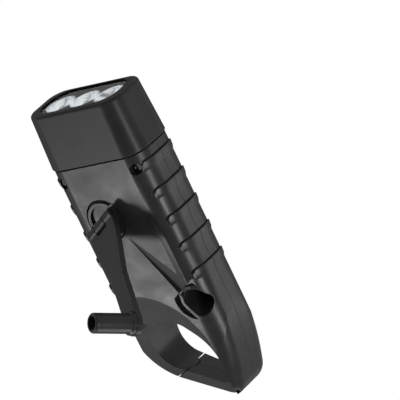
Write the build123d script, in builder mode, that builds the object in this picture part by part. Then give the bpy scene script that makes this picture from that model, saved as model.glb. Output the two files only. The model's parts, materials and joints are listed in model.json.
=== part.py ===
"""Hand crank flashlight with a solar panel and a carabiner tail, in millimetres.

+Z runs from the flat lens rim (Z = 0) to the carabiner tip, +X points to the closed spine of the loop,
+Y to the crank side and -Y to the solar side. The crank is lifted off the back, as it is used.
"""
import math
import os

from build123d import *

os.makedirs("parts", exist_ok=True)

# ---- body: a flat bar with round long edges -------------------------------------------------
body_half_width = 25.0
body_half_depth = 13.3
body_corner = 9.0
edge_round = 7.0
wall = 2.2
front_wall = 3.6
seam_z = 25.0
seam_gap = 0.5
parting_gap = 0.2
cavity_start_z = 28.0
cavity_end_z = 83.0
cavity_corner = 5.0

# ---- carabiner outline, in X and Z ----------------------------------------------------------
shoulder_z = 120.3
tip_inset, tip_z = 10.2, 142.2
spine_bend_z = 114.8
shoulder_radius, tip_radius, spine_radius = 26.0, 8.0, 110.0
facet_inset, facet_centre_z, facet_radius = 9.0, 117.3, 30.5
facet_start_z = 85.5
facet_slope = 0.155
facet_wall_angle = 35.0
opening_gate_side = [(8.4, 98.9), (8.0, 119.2)]
opening_spine_side = [(12.6, 135.7), (13.7, 112.5), (22.5, 100.8)]
opening_radii = [2.5, 13.0, 3.4, 22.0, 8.0]
# what belongs to the loop keeps its distance from the body's sides
tip_x = body_half_width - tip_inset
facet_centre_x = facet_inset - body_half_width
opening_points = [(inset - body_half_width, z) for inset, z in opening_gate_side]
opening_points += [(body_half_width - inset, z) for inset, z in opening_spine_side]

# ---- grip ribs ------------------------------------------------------------------------------
rib_count = 5
rib_pitch = 12.55
rib_first_z = 29.2
rib_height = 0.7
rib_length = 4.8
rib_land, rib_drop, rib_edge = 2.9, 0.15, 0.25
rib_reach = 11.0
rib_end_round = 1.6
grip_start_x = 17.0
crease = 0.5
crease_hook = 1.6

# ---- head -----------------------------------------------------------------------------------
# the head stands a little proud of the body all round
head_overhang = 0.4
head_half_width, head_half_depth = body_half_width + head_overhang, body_half_depth + head_overhang
head_taper = 2.8
rim_round = 1.6
rim_width, rim_depth, lens_corner = 5.0, 3.5, 8.4
lens_half_width, lens_half_depth = head_half_width - rim_width, head_half_depth - rim_depth
lens_lip = 3.0
lens_thickness = 1.4
head_wall_x, head_wall_y, head_bore_corner = 3.2, 2.5, 6.0
head_bore_half_width, head_bore_half_depth = head_half_width - head_wall_x, head_half_depth - head_wall_y
fit_gap = 0.2
neck_z = 14.6
neck_wall = 1.8
snap_length, snap_low_z, snap_high_z, snap_proud = 12.0, 18.0, 19.6, 0.4
led_pitch = 13.1
cup_mouth_radius, cup_throat_radius = 6.9, 2.8
reflector_depth = 9.0
reflector_skin = 0.8
led_radius = 2.5
board_thickness = 1.2

# ---- solar panel ----------------------------------------------------------------------------
cell_width, cell_height = 21.4, 37.9
cell_centre_x, cell_centre_z = -2.5, 56.0
cell_corner = 1.5
cell_margin = 0.5
cell_thickness = 1.1
bezel_thickness = 1.2
bezel_top_z, bezel_foot_z, bezel_foot_bulge = 30.3, 80.8, 2.9
bezel_left_x, bezel_right_top_x, bezel_right_foot_x = -17.9, 17.7, 15.2
bezel_corner = 2.6
bezel_gap = 0.3
bezel_edge, bezel_field_depth, bezel_rim = 1.0, 0.5, 2.0

# ---- crank ----------------------------------------------------------------------------------
hub_x, hub_z = -6.0, 49.8
hub_recess_radius, hub_floor_y = 9.45, 10.1
hub_radius, hub_top_y = 9.0, 12.9
hub_shaft_radius = 2.0
running_gap = 0.05
hinge_y = 16.6
hinge_barrel_radius = 2.3
hinge_pin_radius = 1.0
lug_half_width = 3.6
hinge_side_gap = 0.25
arm_heading = 30.0
arm_lift = 37.0
arm_length = 47.8
arm_thickness = 2.4
arm_root_half_width, arm_half_width = 9.6, 5.0
arm_root_length, arm_taper_end = 7.5, 26.0
arm_end_radius = 5.2
knob_radius, knob_length, knob_bore_radius = 4.2, 18.6, 3.0
knob_web = 6.0
knob_collar_radius, knob_collar_height = 4.9, 1.2
rivet_radius, rivet_head_radius, rivet_head_height = 1.5, 2.6, 1.2
knob_end_round = 1.0
pit_half_width, pit_near, pit_far_low, pit_far_high, pit_floor_y = 4.65, 43.0, 52.7, 56.8, -4.4
trough_radius, trough_depth, trough_start, pit_rim = 9.0, 1.8, 41.5, 1.4
valley_start, valley_end, valley_depth, valley_width = (0.5, 58.4), (12.9, 87.7), 1.5, 8.5

# ---- gear train -----------------------------------------------------------------------------
gear_module = 0.8
pressure_angle = 25.0
big_teeth, small_teeth = 30, 10
tooth_share = 0.46
gear_width = 2.2
upper_gear_y, lower_gear_y = 5.2, 2.8
idler_heading, rotor_heading = 17.0, 126.5
axle_radius = 1.0
plate_y, plate_thickness = 0.9, 1.5
post_places = [(-15.5, 64.5), (14.5, 75.0), (-17.6, 38.2), (18.6, 41.2)]
post_radius = 2.4
can_radius, can_height, can_skin = 11.5, 7.4, 0.7
magnet_radius, magnet_height = 6.0, 4.8
coil_inner_radius = 6.6

# ---- gate -----------------------------------------------------------------------------------
gate_pin_inset, gate_pin_z, gate_pin_radius = 4.2, 98.2, 1.25
gate_pin_x = gate_pin_inset - body_half_width
knuckle_radius, knuckle_gap = 6.0, 0.35
tongue_half_depth, tongue_gap = 2.8, 0.35
gate_reach, gate_tip_gap = 28.8, 0.4
nose_half_depth, nose_length = 1.6, 1.3

# ---- battery, board, switch, screws ---------------------------------------------------------
cell_can_radius, cell_can_length, cell_can_y, cell_can_z = 5.0, 28.0, -4.4, 36.0
board_y = -7.4
board_half_width, board_low_z, board_high_z = 17.0, 44.0, 81.5
button_y, button_z, button_length, button_height = 0.3, 50.2, 8.0, 6.8
button_gap = 0.2
button_proud = 0.8
button_travel = 0.6
switch_y = -2.6
case_screw_inset, case_screw_z, case_recess_radius = 5.35, 31.0, 2.5
case_screw_x = body_half_width - case_screw_inset
tail_screw_inset, tail_screw_z, tail_recess_radius = 0.9, 135.5, 1.8
tail_screw_x = tip_x - tail_screw_inset
screw_radius = 1.0
case_boss_radius = 3.7
case_head_radius, case_head_height, case_seat_y = 2.2, 1.8, 8.5
tail_seat_y = 3.0
board_screw_places = [(-14.0, 78.5), (14.0, 47.0)]
panel_lead_inset = 2.95
panel_lead_z = cell_centre_z + cell_height / 2 - panel_lead_inset
panel_lead_places = [(cell_centre_x - 6.5, panel_lead_z), (cell_centre_x + 7.5, panel_lead_z)]
capacitor_x, capacitor_z, capacitor_radius, capacitor_height = 9.0, 50.0, 3.1, 6.5


def at_y(y):
    """The plane of X and Z at depth y; extruding from it by a positive amount goes towards -Y."""
    return Plane.XZ.offset(-y)


def radial_points(centre_x, centre_z, heading, distance):
    """A point in X and Z, at a heading counted from +X towards +Z."""
    angle = math.radians(heading)
    return centre_x + distance * math.cos(angle), centre_z + distance * math.sin(angle)


def write(piece, label):
    """Label a finished piece and write its STEP file."""
    piece.part.label = label
    export_step(piece.part, f"parts/{label}.step")


# ---- the body's outer form, whole, before it is split ---------------------------------------
body_low_z = seam_z + seam_gap / 2

with BuildPart() as facet_cut:
    # the loop's face falls away from the flat front towards the tail
    root_depth = 4.0
    top_depth = body_half_depth + 3.0
    reach_in = (body_half_depth - 3.0 - root_depth) * math.tan(math.radians(facet_wall_angle))
    cut_radius = facet_radius - reach_in
    far = 40.0
    with BuildSketch(at_y(-root_depth)):
        with BuildLine():
            start = radial_points(facet_centre_x, facet_centre_z, -125.0, cut_radius)
            middle = radial_points(facet_centre_x, facet_centre_z, -60.0, cut_radius)
            end = (facet_centre_x + cut_radius, facet_centre_z)
            ThreePointArc(start, middle, end)
            Polyline(end, (end[0], tip_z + 20), (-far, tip_z + 20), (-far, start[1]), start)
        make_face()
    extrude(amount=top_depth - root_depth, taper=-facet_wall_angle)
    with BuildSketch(Plane.YZ):
        end_z = tip_z + 20
        floor_end = body_half_depth - facet_slope * (end_z - facet_start_z)
        with BuildLine():
            Polyline((-body_half_depth, facet_start_z), (-floor_end, end_z), (-far, end_z),
                     (-far, facet_start_z), close=True)
        make_face()
    extrude(amount=2 * far, both=True, mode=Mode.INTERSECT)

with BuildPart() as body_form:
    with BuildSketch(at_y(body_half_depth)):
        with BuildLine():
            FilletPolyline(
                (-body_half_width, body_low_z), (-body_half_width, shoulder_z), (tip_x, tip_z),
                (body_half_width, spine_bend_z), (body_half_width, body_low_z),
                radius=[shoulder_radius, tip_radius, spine_radius],
            )
            Line((body_half_width, body_low_z), (-body_half_width, body_low_z))
        make_face()
    extrude(amount=2 * body_half_depth)
    flat_faces = body_form.faces().filter_by(Axis.Y).sort_by(Axis.Y)
    long_edges = (flat_faces[0].edges() + flat_faces[-1].edges()).filter_by(
        lambda edge: edge.center().Z > body_low_z + 0.1
    )
    fillet(long_edges, edge_round)
    # the straight sides are rounder than the loop
    with BuildSketch(Plane.XY.offset(body_low_z)):
        RectangleRounded(2 * body_half_width, 2 * body_half_depth, body_corner)
    extrude(amount=tip_z, mode=Mode.INTERSECT)
    add(facet_cut.part, mode=Mode.SUBTRACT)
    add(facet_cut.part.mirror(Plane.XZ), mode=Mode.SUBTRACT)
    with BuildSketch(at_y(body_half_depth + 1)):
        with BuildLine():
            FilletPolyline(*opening_points, radius=opening_radii, close=True)
        make_face()
    extrude(amount=2 * body_half_depth + 2, mode=Mode.SUBTRACT)


# ---- helpers that add to the piece being built ----------------------------------------------


def bar(x, z, radius, high_y, low_y, mode=Mode.ADD):
    """A round bar along Y."""
    with BuildSketch(at_y(high_y)) as outline:
        with Locations((x, z)):
            Circle(radius)
    extrude(outline.sketch, amount=high_y - low_y, mode=mode)


def block(x_range, y_range, z_range, mode=Mode.ADD):
    """A square block between the given limits."""
    low = (x_range[0], y_range[0], z_range[0])
    with Locations(low):
        Box(
            x_range[1] - x_range[0], y_range[1] - y_range[0], z_range[1] - z_range[0],
            align=(Align.MIN, Align.MIN, Align.MIN), mode=mode,
        )


def slab(width, depth, corner, low_z, high_z, centre_y=0.0, mode=Mode.ADD):
    """A rounded rectangle in X and Y, between two heights."""
    with BuildSketch(Plane.XY.offset(low_z)) as outline:
        with Locations((0, centre_y)):
            RectangleRounded(width, depth, corner)
    extrude(outline.sketch, amount=high_z - low_z, mode=mode)


def involute(angle):
    """The involute function of an angle in radians."""
    return math.tan(angle) - angle


def gear(x, z, teeth, turn, high_y, low_y):
    """A spur gear along Y with involute flanks; turn is the heading of one of its teeth."""
    pitch_radius = gear_module * teeth / 2
    base_radius = pitch_radius * math.cos(math.radians(pressure_angle))
    root_radius = pitch_radius - 1.05 * gear_module
    top_radius = pitch_radius + 0.8 * gear_module
    foot_radius = max(root_radius, base_radius)
    middle_radius = (foot_radius + top_radius) / 2
    pitch_half = tooth_share * math.pi / teeth + involute(math.radians(pressure_angle))
    top_half = pitch_half - involute(math.acos(base_radius / top_radius))
    middle_half = pitch_half - involute(math.acos(base_radius / middle_radius))
    foot_half = pitch_half - involute(math.acos(base_radius / foot_radius))
    step = 2 * math.pi / teeth
    with BuildSketch(at_y(high_y)) as outline:
        with BuildLine():
            for tooth in range(teeth):
                heading = turn + tooth * step

                def spot(radius, angle):
                    return x + radius * math.cos(heading + angle), z + radius * math.sin(heading + angle)

                ThreePointArc(
                    spot(foot_radius, -foot_half), spot(middle_radius, -middle_half), spot(top_radius, -top_half)
                )
                ThreePointArc(spot(top_radius, -top_half), spot(top_radius, 0), spot(top_radius, top_half))
                ThreePointArc(
                    spot(top_radius, top_half), spot(middle_radius, middle_half), spot(foot_radius, foot_half)
                )
                if foot_radius > root_radius + 1e-6:
                    Line(spot(foot_radius, foot_half), spot(root_radius, foot_half))
                    Line(spot(root_radius, step - foot_half), spot(foot_radius, step - foot_half))
                ThreePointArc(
                    spot(root_radius, foot_half), spot(root_radius, step / 2), spot(root_radius, step - foot_half)
                )
        make_face()
    extrude(outline.sketch, amount=high_y - low_y)


# ---- the body hollowed, ribbed and opened for the gate, still in one ------------------------
neck_half_width = head_bore_half_width - fit_gap
neck_half_depth = head_bore_half_depth - fit_gap
neck_corner = head_bore_corner - fit_gap
cavity_half_width = body_half_width - wall
cavity_low_y, cavity_high_y = front_wall - body_half_depth, body_half_depth - wall

rib_places = [rib_first_z + index * rib_pitch for index in range(rib_count)]


def rib_step(low_z, low_height, high_z, high_height):
    """One stretch of a rib round the whole body, between two heights above its surface."""
    with BuildSketch(Plane.XY.offset(low_z)) as outline:
        RectangleRounded(
            2 * (body_half_width + low_height), 2 * (body_half_depth + low_height), body_corner + low_height
        )
    slope = math.degrees(math.atan((low_height - high_height) / (high_z - low_z)))
    extrude(outline.sketch, amount=high_z - low_z, taper=slope)


def rib_outlines(growth, mode=Mode.ADD):
    """The ribs' round-ended outlines in Y and Z, grown all round."""
    for place_z in rib_places:
        with Locations((0, place_z + rib_length / 2)):
            RectangleRounded(
                2 * (rib_reach + growth), rib_length + 2 * growth, rib_end_round + growth, mode=mode
            )


with BuildPart() as ribs:
    # each rib rises steeply at the crease and falls away gently towards the tail
    for place_z in rib_places:
        rib_step(place_z, rib_height - rib_edge, place_z + rib_edge, rib_height)
        rib_step(place_z + rib_edge, rib_height, place_z + rib_land, rib_height - rib_drop)
        rib_step(place_z + rib_land, rib_height - rib_drop, place_z + rib_length, -0.1)
    with BuildSketch(Plane.YZ) as rib_reaches:
        rib_outlines(0.0)
    extrude(rib_reaches.sketch, amount=2 * body_half_width, both=True, mode=Mode.INTERSECT)
    block((-grip_start_x, grip_start_x), (-20.0, 20.0), (20.0, 100.0), mode=Mode.SUBTRACT)

with BuildPart() as creases:
    # a crease runs along each rib's upper edge and hooks round its ends
    with BuildSketch(Plane.YZ) as crease_lines:
        rib_outlines(crease)
        rib_outlines(0.0, mode=Mode.SUBTRACT)
        for place_z in rib_places:
            with Locations((0, place_z + crease_hook)):
                Rectangle(4 * rib_reach, rib_length, align=(Align.CENTER, Align.MIN), mode=Mode.SUBTRACT)
    extrude(crease_lines.sketch, amount=2 * body_half_width, both=True)
    slab(
        2 * (body_half_width - crease), 2 * (body_half_depth - crease), body_corner - crease, 20.0, 100.0,
        mode=Mode.SUBTRACT,
    )
    block((-grip_start_x, grip_start_x), (-20.0, 20.0), (20.0, 100.0), mode=Mode.SUBTRACT)

gate_side_points = [
    (-30.0, gate_pin_z), (-16.0, gate_pin_z), (-14.0, 102.0), (-12.0, 112.0), (-3.0, 122.0),
    (-3.0, 136.0), (-30.0, 136.0),
]
nose_start = radial_points(gate_pin_x, gate_pin_z, 90.0 - 20.5, 45.0)
nose_end = radial_points(gate_pin_x, gate_pin_z, 90.0 - 50.0, 45.0)
nose_space_end = radial_points(gate_pin_x, gate_pin_z, 90.0 - 60.0, 45.0)

with BuildPart() as gate_space:
    # the gate's place in the loop, with its running space; the shells keep a tongue for the pin
    with BuildSketch(at_y(20.0)):
        Polygon(*gate_side_points, align=None)
        with Locations((gate_pin_x, gate_pin_z)):
            Circle(knuckle_radius + knuckle_gap)
            Circle(gate_reach + gate_tip_gap, mode=Mode.INTERSECT)
    extrude(amount=40.0)
    bar(gate_pin_x, gate_pin_z, knuckle_radius - 0.1, tongue_half_depth, -tongue_half_depth, mode=Mode.SUBTRACT)
    block(
        (gate_pin_x - knuckle_radius, gate_pin_x + knuckle_radius - 0.1), (-tongue_half_depth, tongue_half_depth),
        (88.0, gate_pin_z - 0.5), mode=Mode.SUBTRACT,
    )
    with BuildSketch(at_y(nose_half_depth + 0.3)):
        with Locations((gate_pin_x, gate_pin_z)):
            Circle(gate_reach + nose_length + gate_tip_gap)
            Circle(gate_reach, mode=Mode.SUBTRACT)
        Polygon((gate_pin_x, gate_pin_z), nose_start, nose_space_end, align=None, mode=Mode.INTERSECT)
    extrude(amount=2 * nose_half_depth + 0.6)

with BuildPart() as parting_groove:
    # a fine line where the two shells meet, round the outside and inside the loop
    with BuildSketch(at_y(parting_gap / 2)):
        with BuildLine() as outline_wire:
            FilletPolyline(
                (-body_half_width, body_low_z), (-body_half_width, shoulder_z), (tip_x, tip_z),
                (body_half_width, spine_bend_z), (body_half_width, body_low_z),
                radius=[shoulder_radius, tip_radius, spine_radius],
            )
            Line((body_half_width, body_low_z), (-body_half_width, body_low_z))
        make_face()
        offset(amount=2.0)
        with BuildLine():
            FilletPolyline(
                (-body_half_width, body_low_z), (-body_half_width, shoulder_z), (tip_x, tip_z),
                (body_half_width, spine_bend_z), (body_half_width, body_low_z),
                radius=[shoulder_radius, tip_radius, spine_radius],
            )
            Line((body_half_width, body_low_z), (-body_half_width, body_low_z))
        groove_inside = make_face(mode=Mode.PRIVATE)
        offset(groove_inside, amount=-0.4, mode=Mode.SUBTRACT)
        with Locations((0, body_low_z - 5)):
            Rectangle(60, 12, mode=Mode.SUBTRACT)
    extrude(amount=parting_gap)
    with BuildSketch(at_y(parting_gap / 2)):
        with BuildLine():
            FilletPolyline(*opening_points, radius=opening_radii, close=True)
        make_face()
        offset(amount=0.4)
    extrude(amount=parting_gap)

heading_from_x = 90.0 - arm_heading
toward_pit = Vector(math.cos(math.radians(heading_from_x)), 0, math.sin(math.radians(heading_from_x)))
across = Vector(-toward_pit.Z, 0, toward_pit.X)

with BuildPart() as case_bosses:
    # bosses for the screws beside the head seam, kept inside the body's round corners
    for side in (-1, 1):
        bar(side * case_screw_x, case_screw_z, case_boss_radius, cavity_high_y + 0.5, cavity_low_y - 0.5)
    add(body_form.part, mode=Mode.INTERSECT)

with BuildPart() as body_whole:
    add(body_form.part)
    add(ribs.part)
    add(creases.part, mode=Mode.SUBTRACT)
    slab(2 * neck_half_width, 2 * neck_half_depth, neck_corner, neck_z, body_low_z + 1)
    slab(
        2 * (neck_half_width - neck_wall), 2 * (neck_half_depth - neck_wall), neck_corner - neck_wall,
        neck_z, cavity_start_z + 1, mode=Mode.SUBTRACT,
    )
    slab(
        2 * cavity_half_width, cavity_high_y - cavity_low_y, cavity_corner, cavity_start_z, cavity_end_z,
        centre_y=(cavity_high_y + cavity_low_y) / 2, mode=Mode.SUBTRACT,
    )
    for side in (-1, 1):
        snap_from, snap_to = sorted((side * (neck_half_depth - 0.5), side * (head_bore_half_depth + snap_proud)))
        block((-snap_length / 2, snap_length / 2), (snap_from, snap_to), (snap_low_z, snap_high_z))
    add(gate_space.part, mode=Mode.SUBTRACT)
    add(parting_groove.part, mode=Mode.SUBTRACT)
    add(case_bosses.part)
    # the power button's window in the side
    with BuildSketch(Plane.YZ.offset(-body_half_width - 3)) as button_window:
        with Locations((button_y, button_z)):
            RectangleRounded(
                button_length + 2 * button_gap, button_height + 2 * button_gap,
                button_height / 2 + button_gap - 0.1,
            )
    extrude(button_window.sketch, amount=8.0, mode=Mode.SUBTRACT)
    # the knob's pit, longer at its mouth because the knob swings in
    pit_plane = Plane(origin=(hub_x, pit_floor_y, hub_z), x_dir=toward_pit, z_dir=(0, -1, 0))
    with BuildSketch(pit_plane) as pit_foot:
        with Locations(((pit_near + pit_far_low) / 2, 0)):
            SlotOverall(pit_far_low - pit_near, 2 * pit_half_width)
    with BuildSketch(pit_plane.offset(pit_floor_y - body_half_depth - 1)) as pit_mouth:
        with Locations(((pit_near + pit_far_high) / 2, 0)):
            SlotOverall(pit_far_high - pit_near, 2 * pit_half_width)
    loft([pit_foot.sketch.face(), pit_mouth.sketch.face()], mode=Mode.SUBTRACT)
    # the gate pin's hole in the tongue, and the spring's pocket
    bar(gate_pin_x, gate_pin_z, gate_pin_radius, tongue_half_depth + 1, -tongue_half_depth - 1, mode=Mode.SUBTRACT)
    bar(gate_pin_x, gate_pin_z, 2.7, 1.9, -1.9, mode=Mode.SUBTRACT)

# ---- front shell: the solar side ------------------------------------------------------------
bezel_face_y = -body_half_depth
bezel_seat_y = bezel_face_y + bezel_thickness
cell_seat_y = -11.2
board_back_y = board_y - board_thickness


def bezel_face(y, grow):
    """The bezel's outline at depth y: straight at the lens end and slightly bulged at the foot."""
    with BuildSketch(at_y(y)) as outline:
        with BuildLine():
            foot_left = (bezel_left_x, bezel_foot_z)
            foot_right = (bezel_right_foot_x, bezel_foot_z)
            foot_middle = ((bezel_left_x + bezel_right_foot_x) / 2, bezel_foot_z + bezel_foot_bulge)
            ThreePointArc(foot_left, foot_middle, foot_right)
            Polyline(foot_right, (bezel_right_top_x, bezel_top_z), (bezel_left_x, bezel_top_z), foot_left)
        make_face()
        fillet(vertices(), bezel_corner)
        if grow > 0:
            offset(amount=grow)
    return outline.sketch


with BuildPart() as front_shell:
    add(body_whole.part)
    block((-40.0, 40.0), (-30.0, 0.0), (0.0, 160.0), mode=Mode.INTERSECT)
    # pocket for the bezel, and a deeper one for the cell
    extrude(bezel_face(bezel_seat_y, bezel_gap), amount=5.0, mode=Mode.SUBTRACT)
    with BuildSketch(at_y(cell_seat_y)):
        with Locations((cell_centre_x, cell_centre_z)):
            RectangleRounded(cell_width + 0.2, cell_height + 0.2, cell_corner)
    extrude(amount=5.0, mode=Mode.SUBTRACT)
    # bosses and saddles inside
    for place_x, place_z in board_screw_places:
        bar(place_x, place_z, 2.3, board_back_y, cavity_low_y - 0.4)
        bar(place_x, place_z, 0.8, board_back_y, -11.0, mode=Mode.SUBTRACT)
    for place_x, place_z in panel_lead_places:
        bar(place_x, place_z, 0.7, cavity_low_y + 0.5, -12.0, mode=Mode.SUBTRACT)
    for saddle_x in (-9.5, 9.5):
        block((saddle_x - 1, saddle_x + 1), (cavity_low_y - 0.4, -6.0), (30.0, 42.0))
    with Locations((0, cell_can_y, cell_can_z)):
        Cylinder(cell_can_radius, 40.0, rotation=(0, 90, 0), mode=Mode.SUBTRACT)
    # pilots for the two screws beside the seam and for the tail screw
    for side in (-1, 1):
        bar(side * case_screw_x, case_screw_z, screw_radius, 1.0, -7.0, mode=Mode.SUBTRACT)
    bar(tail_screw_x, tail_screw_z, 0.8, 1.0, -3.6, mode=Mode.SUBTRACT)
write(front_shell, "front_shell")

# ---- back shell: the crank side -------------------------------------------------------------
idler_x, idler_z = radial_points(hub_x, hub_z, idler_heading, gear_module * (big_teeth + small_teeth) / 2)
rotor_x, rotor_z = radial_points(
    idler_x, idler_z, rotor_heading, gear_module * (big_teeth + small_teeth) / 2
)
hub_boss_y = 8.1
bush_flange = 0.6


def along(distance):
    """The X and Z of a point on the stowed crank's centre line."""
    return hub_x + distance * toward_pit.X, hub_z + distance * toward_pit.Z


with BuildPart() as back_shell:
    add(body_whole.part)
    block((-40.0, 40.0), (0.0, 30.0), (0.0, 160.0), mode=Mode.INTERSECT)
    # inner bosses: hub, idler pin, rotor bush and the gear plate's posts
    bar(hub_x, hub_z, 11.5, cavity_high_y + 0.5, hub_boss_y)
    bar(idler_x, idler_z, 2.4, cavity_high_y + 0.5, 7.5)
    bar(rotor_x, rotor_z, 3.2, cavity_high_y + 0.5, 5.5)
    for place_x, place_z in post_places:
        bar(place_x, place_z, post_radius, cavity_high_y + 0.5, plate_y + plate_thickness)
        bar(place_x, place_z, screw_radius, 8.5, 0.0, mode=Mode.SUBTRACT)
    bar(idler_x, idler_z, axle_radius, 9.6, 7.0, mode=Mode.SUBTRACT)
    bar(rotor_x, rotor_z, 2.0, 7.5, 5.0, mode=Mode.SUBTRACT)
    bar(rotor_x, rotor_z, 1.3, 8.0, 7.0, mode=Mode.SUBTRACT)
    # hub recess and the bush's hole
    bar(hub_x, hub_z, hub_recess_radius, body_half_depth + 1, hub_floor_y, mode=Mode.SUBTRACT)
    bar(hub_x, hub_z, 3.2, hub_floor_y + 1, hub_boss_y - 1, mode=Mode.SUBTRACT)
    # a shallow valley beside the plateau that the crank folds onto
    valley_run = Vector(valley_end[0] - valley_start[0], 0, valley_end[1] - valley_start[1])
    valley_heading = valley_run.normalized()
    valley_plane = Plane(
        origin=(valley_end[0], body_half_depth, valley_end[1]),
        x_dir=(valley_heading.Z, 0, -valley_heading.X),
        z_dir=(valley_heading.X, 0, valley_heading.Z),
    )
    with BuildSketch(valley_plane) as valley_section:
        with BuildLine():
            Polyline((0, -valley_depth), (0, 2), (valley_width + 2, 2), (valley_width, 0), (0, -valley_depth))
        make_face()
    valley_rise = Vector(-valley_run.X, valley_depth, -valley_run.Z)
    extrude(valley_section.sketch, amount=valley_rise.length, dir=valley_rise.normalized(), mode=Mode.SUBTRACT)
    extrude(valley_section.sketch, amount=7.0, dir=valley_heading, mode=Mode.SUBTRACT)
    # trough between the plateau's end and the pit's rim
    trough_plane = Plane(
        origin=(hub_x, body_half_depth - trough_depth, hub_z), x_dir=toward_pit, z_dir=(0, -1, 0)
    )
    with BuildSketch(trough_plane) as trough:
        with Locations((pit_near + pit_half_width, 0)):
            Circle(trough_radius)
        with Locations((trough_start, -20)):
            Rectangle(pit_half_width + 8, 40, align=(Align.MIN, Align.MIN), mode=Mode.INTERSECT)
        with Locations(((pit_near + pit_far_high) / 2, 0)):
            SlotOverall(
                pit_far_high - pit_near + 2 * pit_rim, 2 * (pit_half_width + pit_rim), mode=Mode.SUBTRACT
            )
    extrude(trough.sketch, amount=-10.0, mode=Mode.SUBTRACT)
    # screw recesses
    for side in (-1, 1):
        bar(side * case_screw_x, case_screw_z, case_recess_radius, 20.0, case_seat_y, mode=Mode.SUBTRACT)
        bar(side * case_screw_x, case_screw_z, screw_radius + 0.35, 20.0, -1.0, mode=Mode.SUBTRACT)
    bar(tail_screw_x, tail_screw_z, tail_recess_radius, 20.0, tail_seat_y, mode=Mode.SUBTRACT)
    bar(tail_screw_x, tail_screw_z, 1.0, 20.0, -1.0, mode=Mode.SUBTRACT)
write(back_shell, "back_shell")

# ---- head shell -----------------------------------------------------------------------------
head_high_z = seam_z - seam_gap / 2

with BuildPart() as head_shell:
    with BuildSketch(Plane((0, 0, head_high_z), x_dir=(1, 0, 0), z_dir=(0, 0, -1))):
        RectangleRounded(2 * head_half_width, 2 * head_half_depth, body_corner)
    extrude(amount=head_high_z, taper=head_taper)
    fillet(head_shell.faces().sort_by(Axis.Z)[0].edges(), rim_round)
    chamfer(head_shell.faces().sort_by(Axis.Z)[-1].edges(), 0.3)
    slab(
        2 * head_bore_half_width, 2 * head_bore_half_depth, head_bore_corner, lens_lip, head_high_z + 1,
        mode=Mode.SUBTRACT,
    )
    slab(2 * lens_half_width, 2 * lens_half_depth, lens_corner, -1, lens_lip + 1, mode=Mode.SUBTRACT)
    for side in (-1, 1):
        snap_from, snap_to = sorted(
            (side * (head_bore_half_depth - 0.5), side * (head_bore_half_depth + snap_proud))
        )
        block(
            (-snap_length / 2 - 0.1, snap_length / 2 + 0.1), (snap_from, snap_to),
            (snap_low_z - 0.1, snap_high_z + 0.1), mode=Mode.SUBTRACT,
        )
write(head_shell, "head_shell")

# ---- lens, reflector, lamps and their board -------------------------------------------------
lens_high_z = lens_lip + lens_thickness
reflector_high_z = lens_high_z + reflector_depth
led_places = {"led_left": -led_pitch, "led_middle": 0.0, "led_right": led_pitch}

with BuildPart() as lens_window:
    slab(2 * neck_half_width, 2 * neck_half_depth, neck_corner, lens_lip, lens_high_z)
write(lens_window, "lens_window")

with BuildPart() as reflector:
    slab(2 * neck_half_width, 2 * neck_half_depth, neck_corner, lens_high_z, lens_high_z + reflector_skin)
    with BuildSketch(Plane.XY.offset(lens_high_z)) as skirt:
        RectangleRounded(2 * neck_half_width, 2 * neck_half_depth, neck_corner)
        RectangleRounded(
            2 * (neck_half_width - reflector_skin), 2 * (neck_half_depth - reflector_skin),
            neck_corner - reflector_skin, mode=Mode.SUBTRACT,
        )
    extrude(skirt.sketch, amount=reflector_depth)
    throat_z = reflector_high_z - 1.2
    middle_z = (lens_high_z + throat_z) / 2
    middle_radius = cup_throat_radius + 0.71 * (cup_mouth_radius - cup_throat_radius)
    with BuildSketch(Plane.XZ) as cup_body:
        with BuildLine():
            Spline(
                (cup_mouth_radius + reflector_skin, lens_high_z), (middle_radius + reflector_skin, middle_z),
                (cup_throat_radius + 1.2, throat_z),
            )
            Polyline(
                (cup_throat_radius + 1.2, throat_z), (cup_throat_radius + 1.2, reflector_high_z),
                (0, reflector_high_z), (0, lens_high_z), (cup_mouth_radius + reflector_skin, lens_high_z),
            )
        make_face()
    with BuildSketch(Plane.XZ) as cup_bore:
        with BuildLine():
            Spline(
                (cup_mouth_radius, lens_high_z - 0.001), (middle_radius, middle_z),
                (cup_throat_radius, throat_z),
            )
            Polyline(
                (cup_throat_radius, throat_z), (3.1, throat_z), (3.1, reflector_high_z + 1),
                (0, reflector_high_z + 1), (0, lens_high_z - 0.001), (cup_mouth_radius, lens_high_z - 0.001),
            )
        make_face()
    # the three cups run into each other, so every bore is cut after every cup is added
    for section, mode in ((cup_body, Mode.ADD), (cup_bore, Mode.SUBTRACT)):
        cup = revolve(section.sketch, axis=Axis.Z, mode=Mode.PRIVATE)
        for centre_x in led_places.values():
            add(cup.moved(Location((centre_x, 0, 0))), mode=mode)
write(reflector, "reflector")

led_flange_z = reflector_high_z - 1.0
led_tip_z = reflector_high_z - 7.8
for label, centre_x in led_places.items():
    with BuildPart() as led:
        with Locations((centre_x, 0, led_flange_z)):
            Cylinder(2.9, 1.0, align=(Align.CENTER, Align.CENTER, Align.MIN))
        with Locations((centre_x, 0, led_tip_z + led_radius)):
            Cylinder(
                led_radius, led_flange_z - led_tip_z - led_radius,
                align=(Align.CENTER, Align.CENTER, Align.MIN),
            )
            Sphere(led_radius)
        for leg_x in (centre_x - 1.27, centre_x + 1.27):
            with Locations((leg_x, 0, reflector_high_z)):
                Cylinder(0.25, 3.0, align=(Align.CENTER, Align.CENTER, Align.MIN))
    write(led, label)

with BuildPart() as led_board:
    slab(2 * neck_half_width - 0.6, 2 * neck_half_depth - 0.6, neck_corner, reflector_high_z, neck_z)
    with BuildSketch(Plane.XY.offset(reflector_high_z)) as leg_holes:
        for centre_x in led_places.values():
            with Locations((centre_x - 1.27, 0), (centre_x + 1.27, 0)):
                Circle(0.35)
    extrude(leg_holes.sketch, amount=board_thickness, mode=Mode.SUBTRACT)
write(led_board, "led_board")

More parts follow.
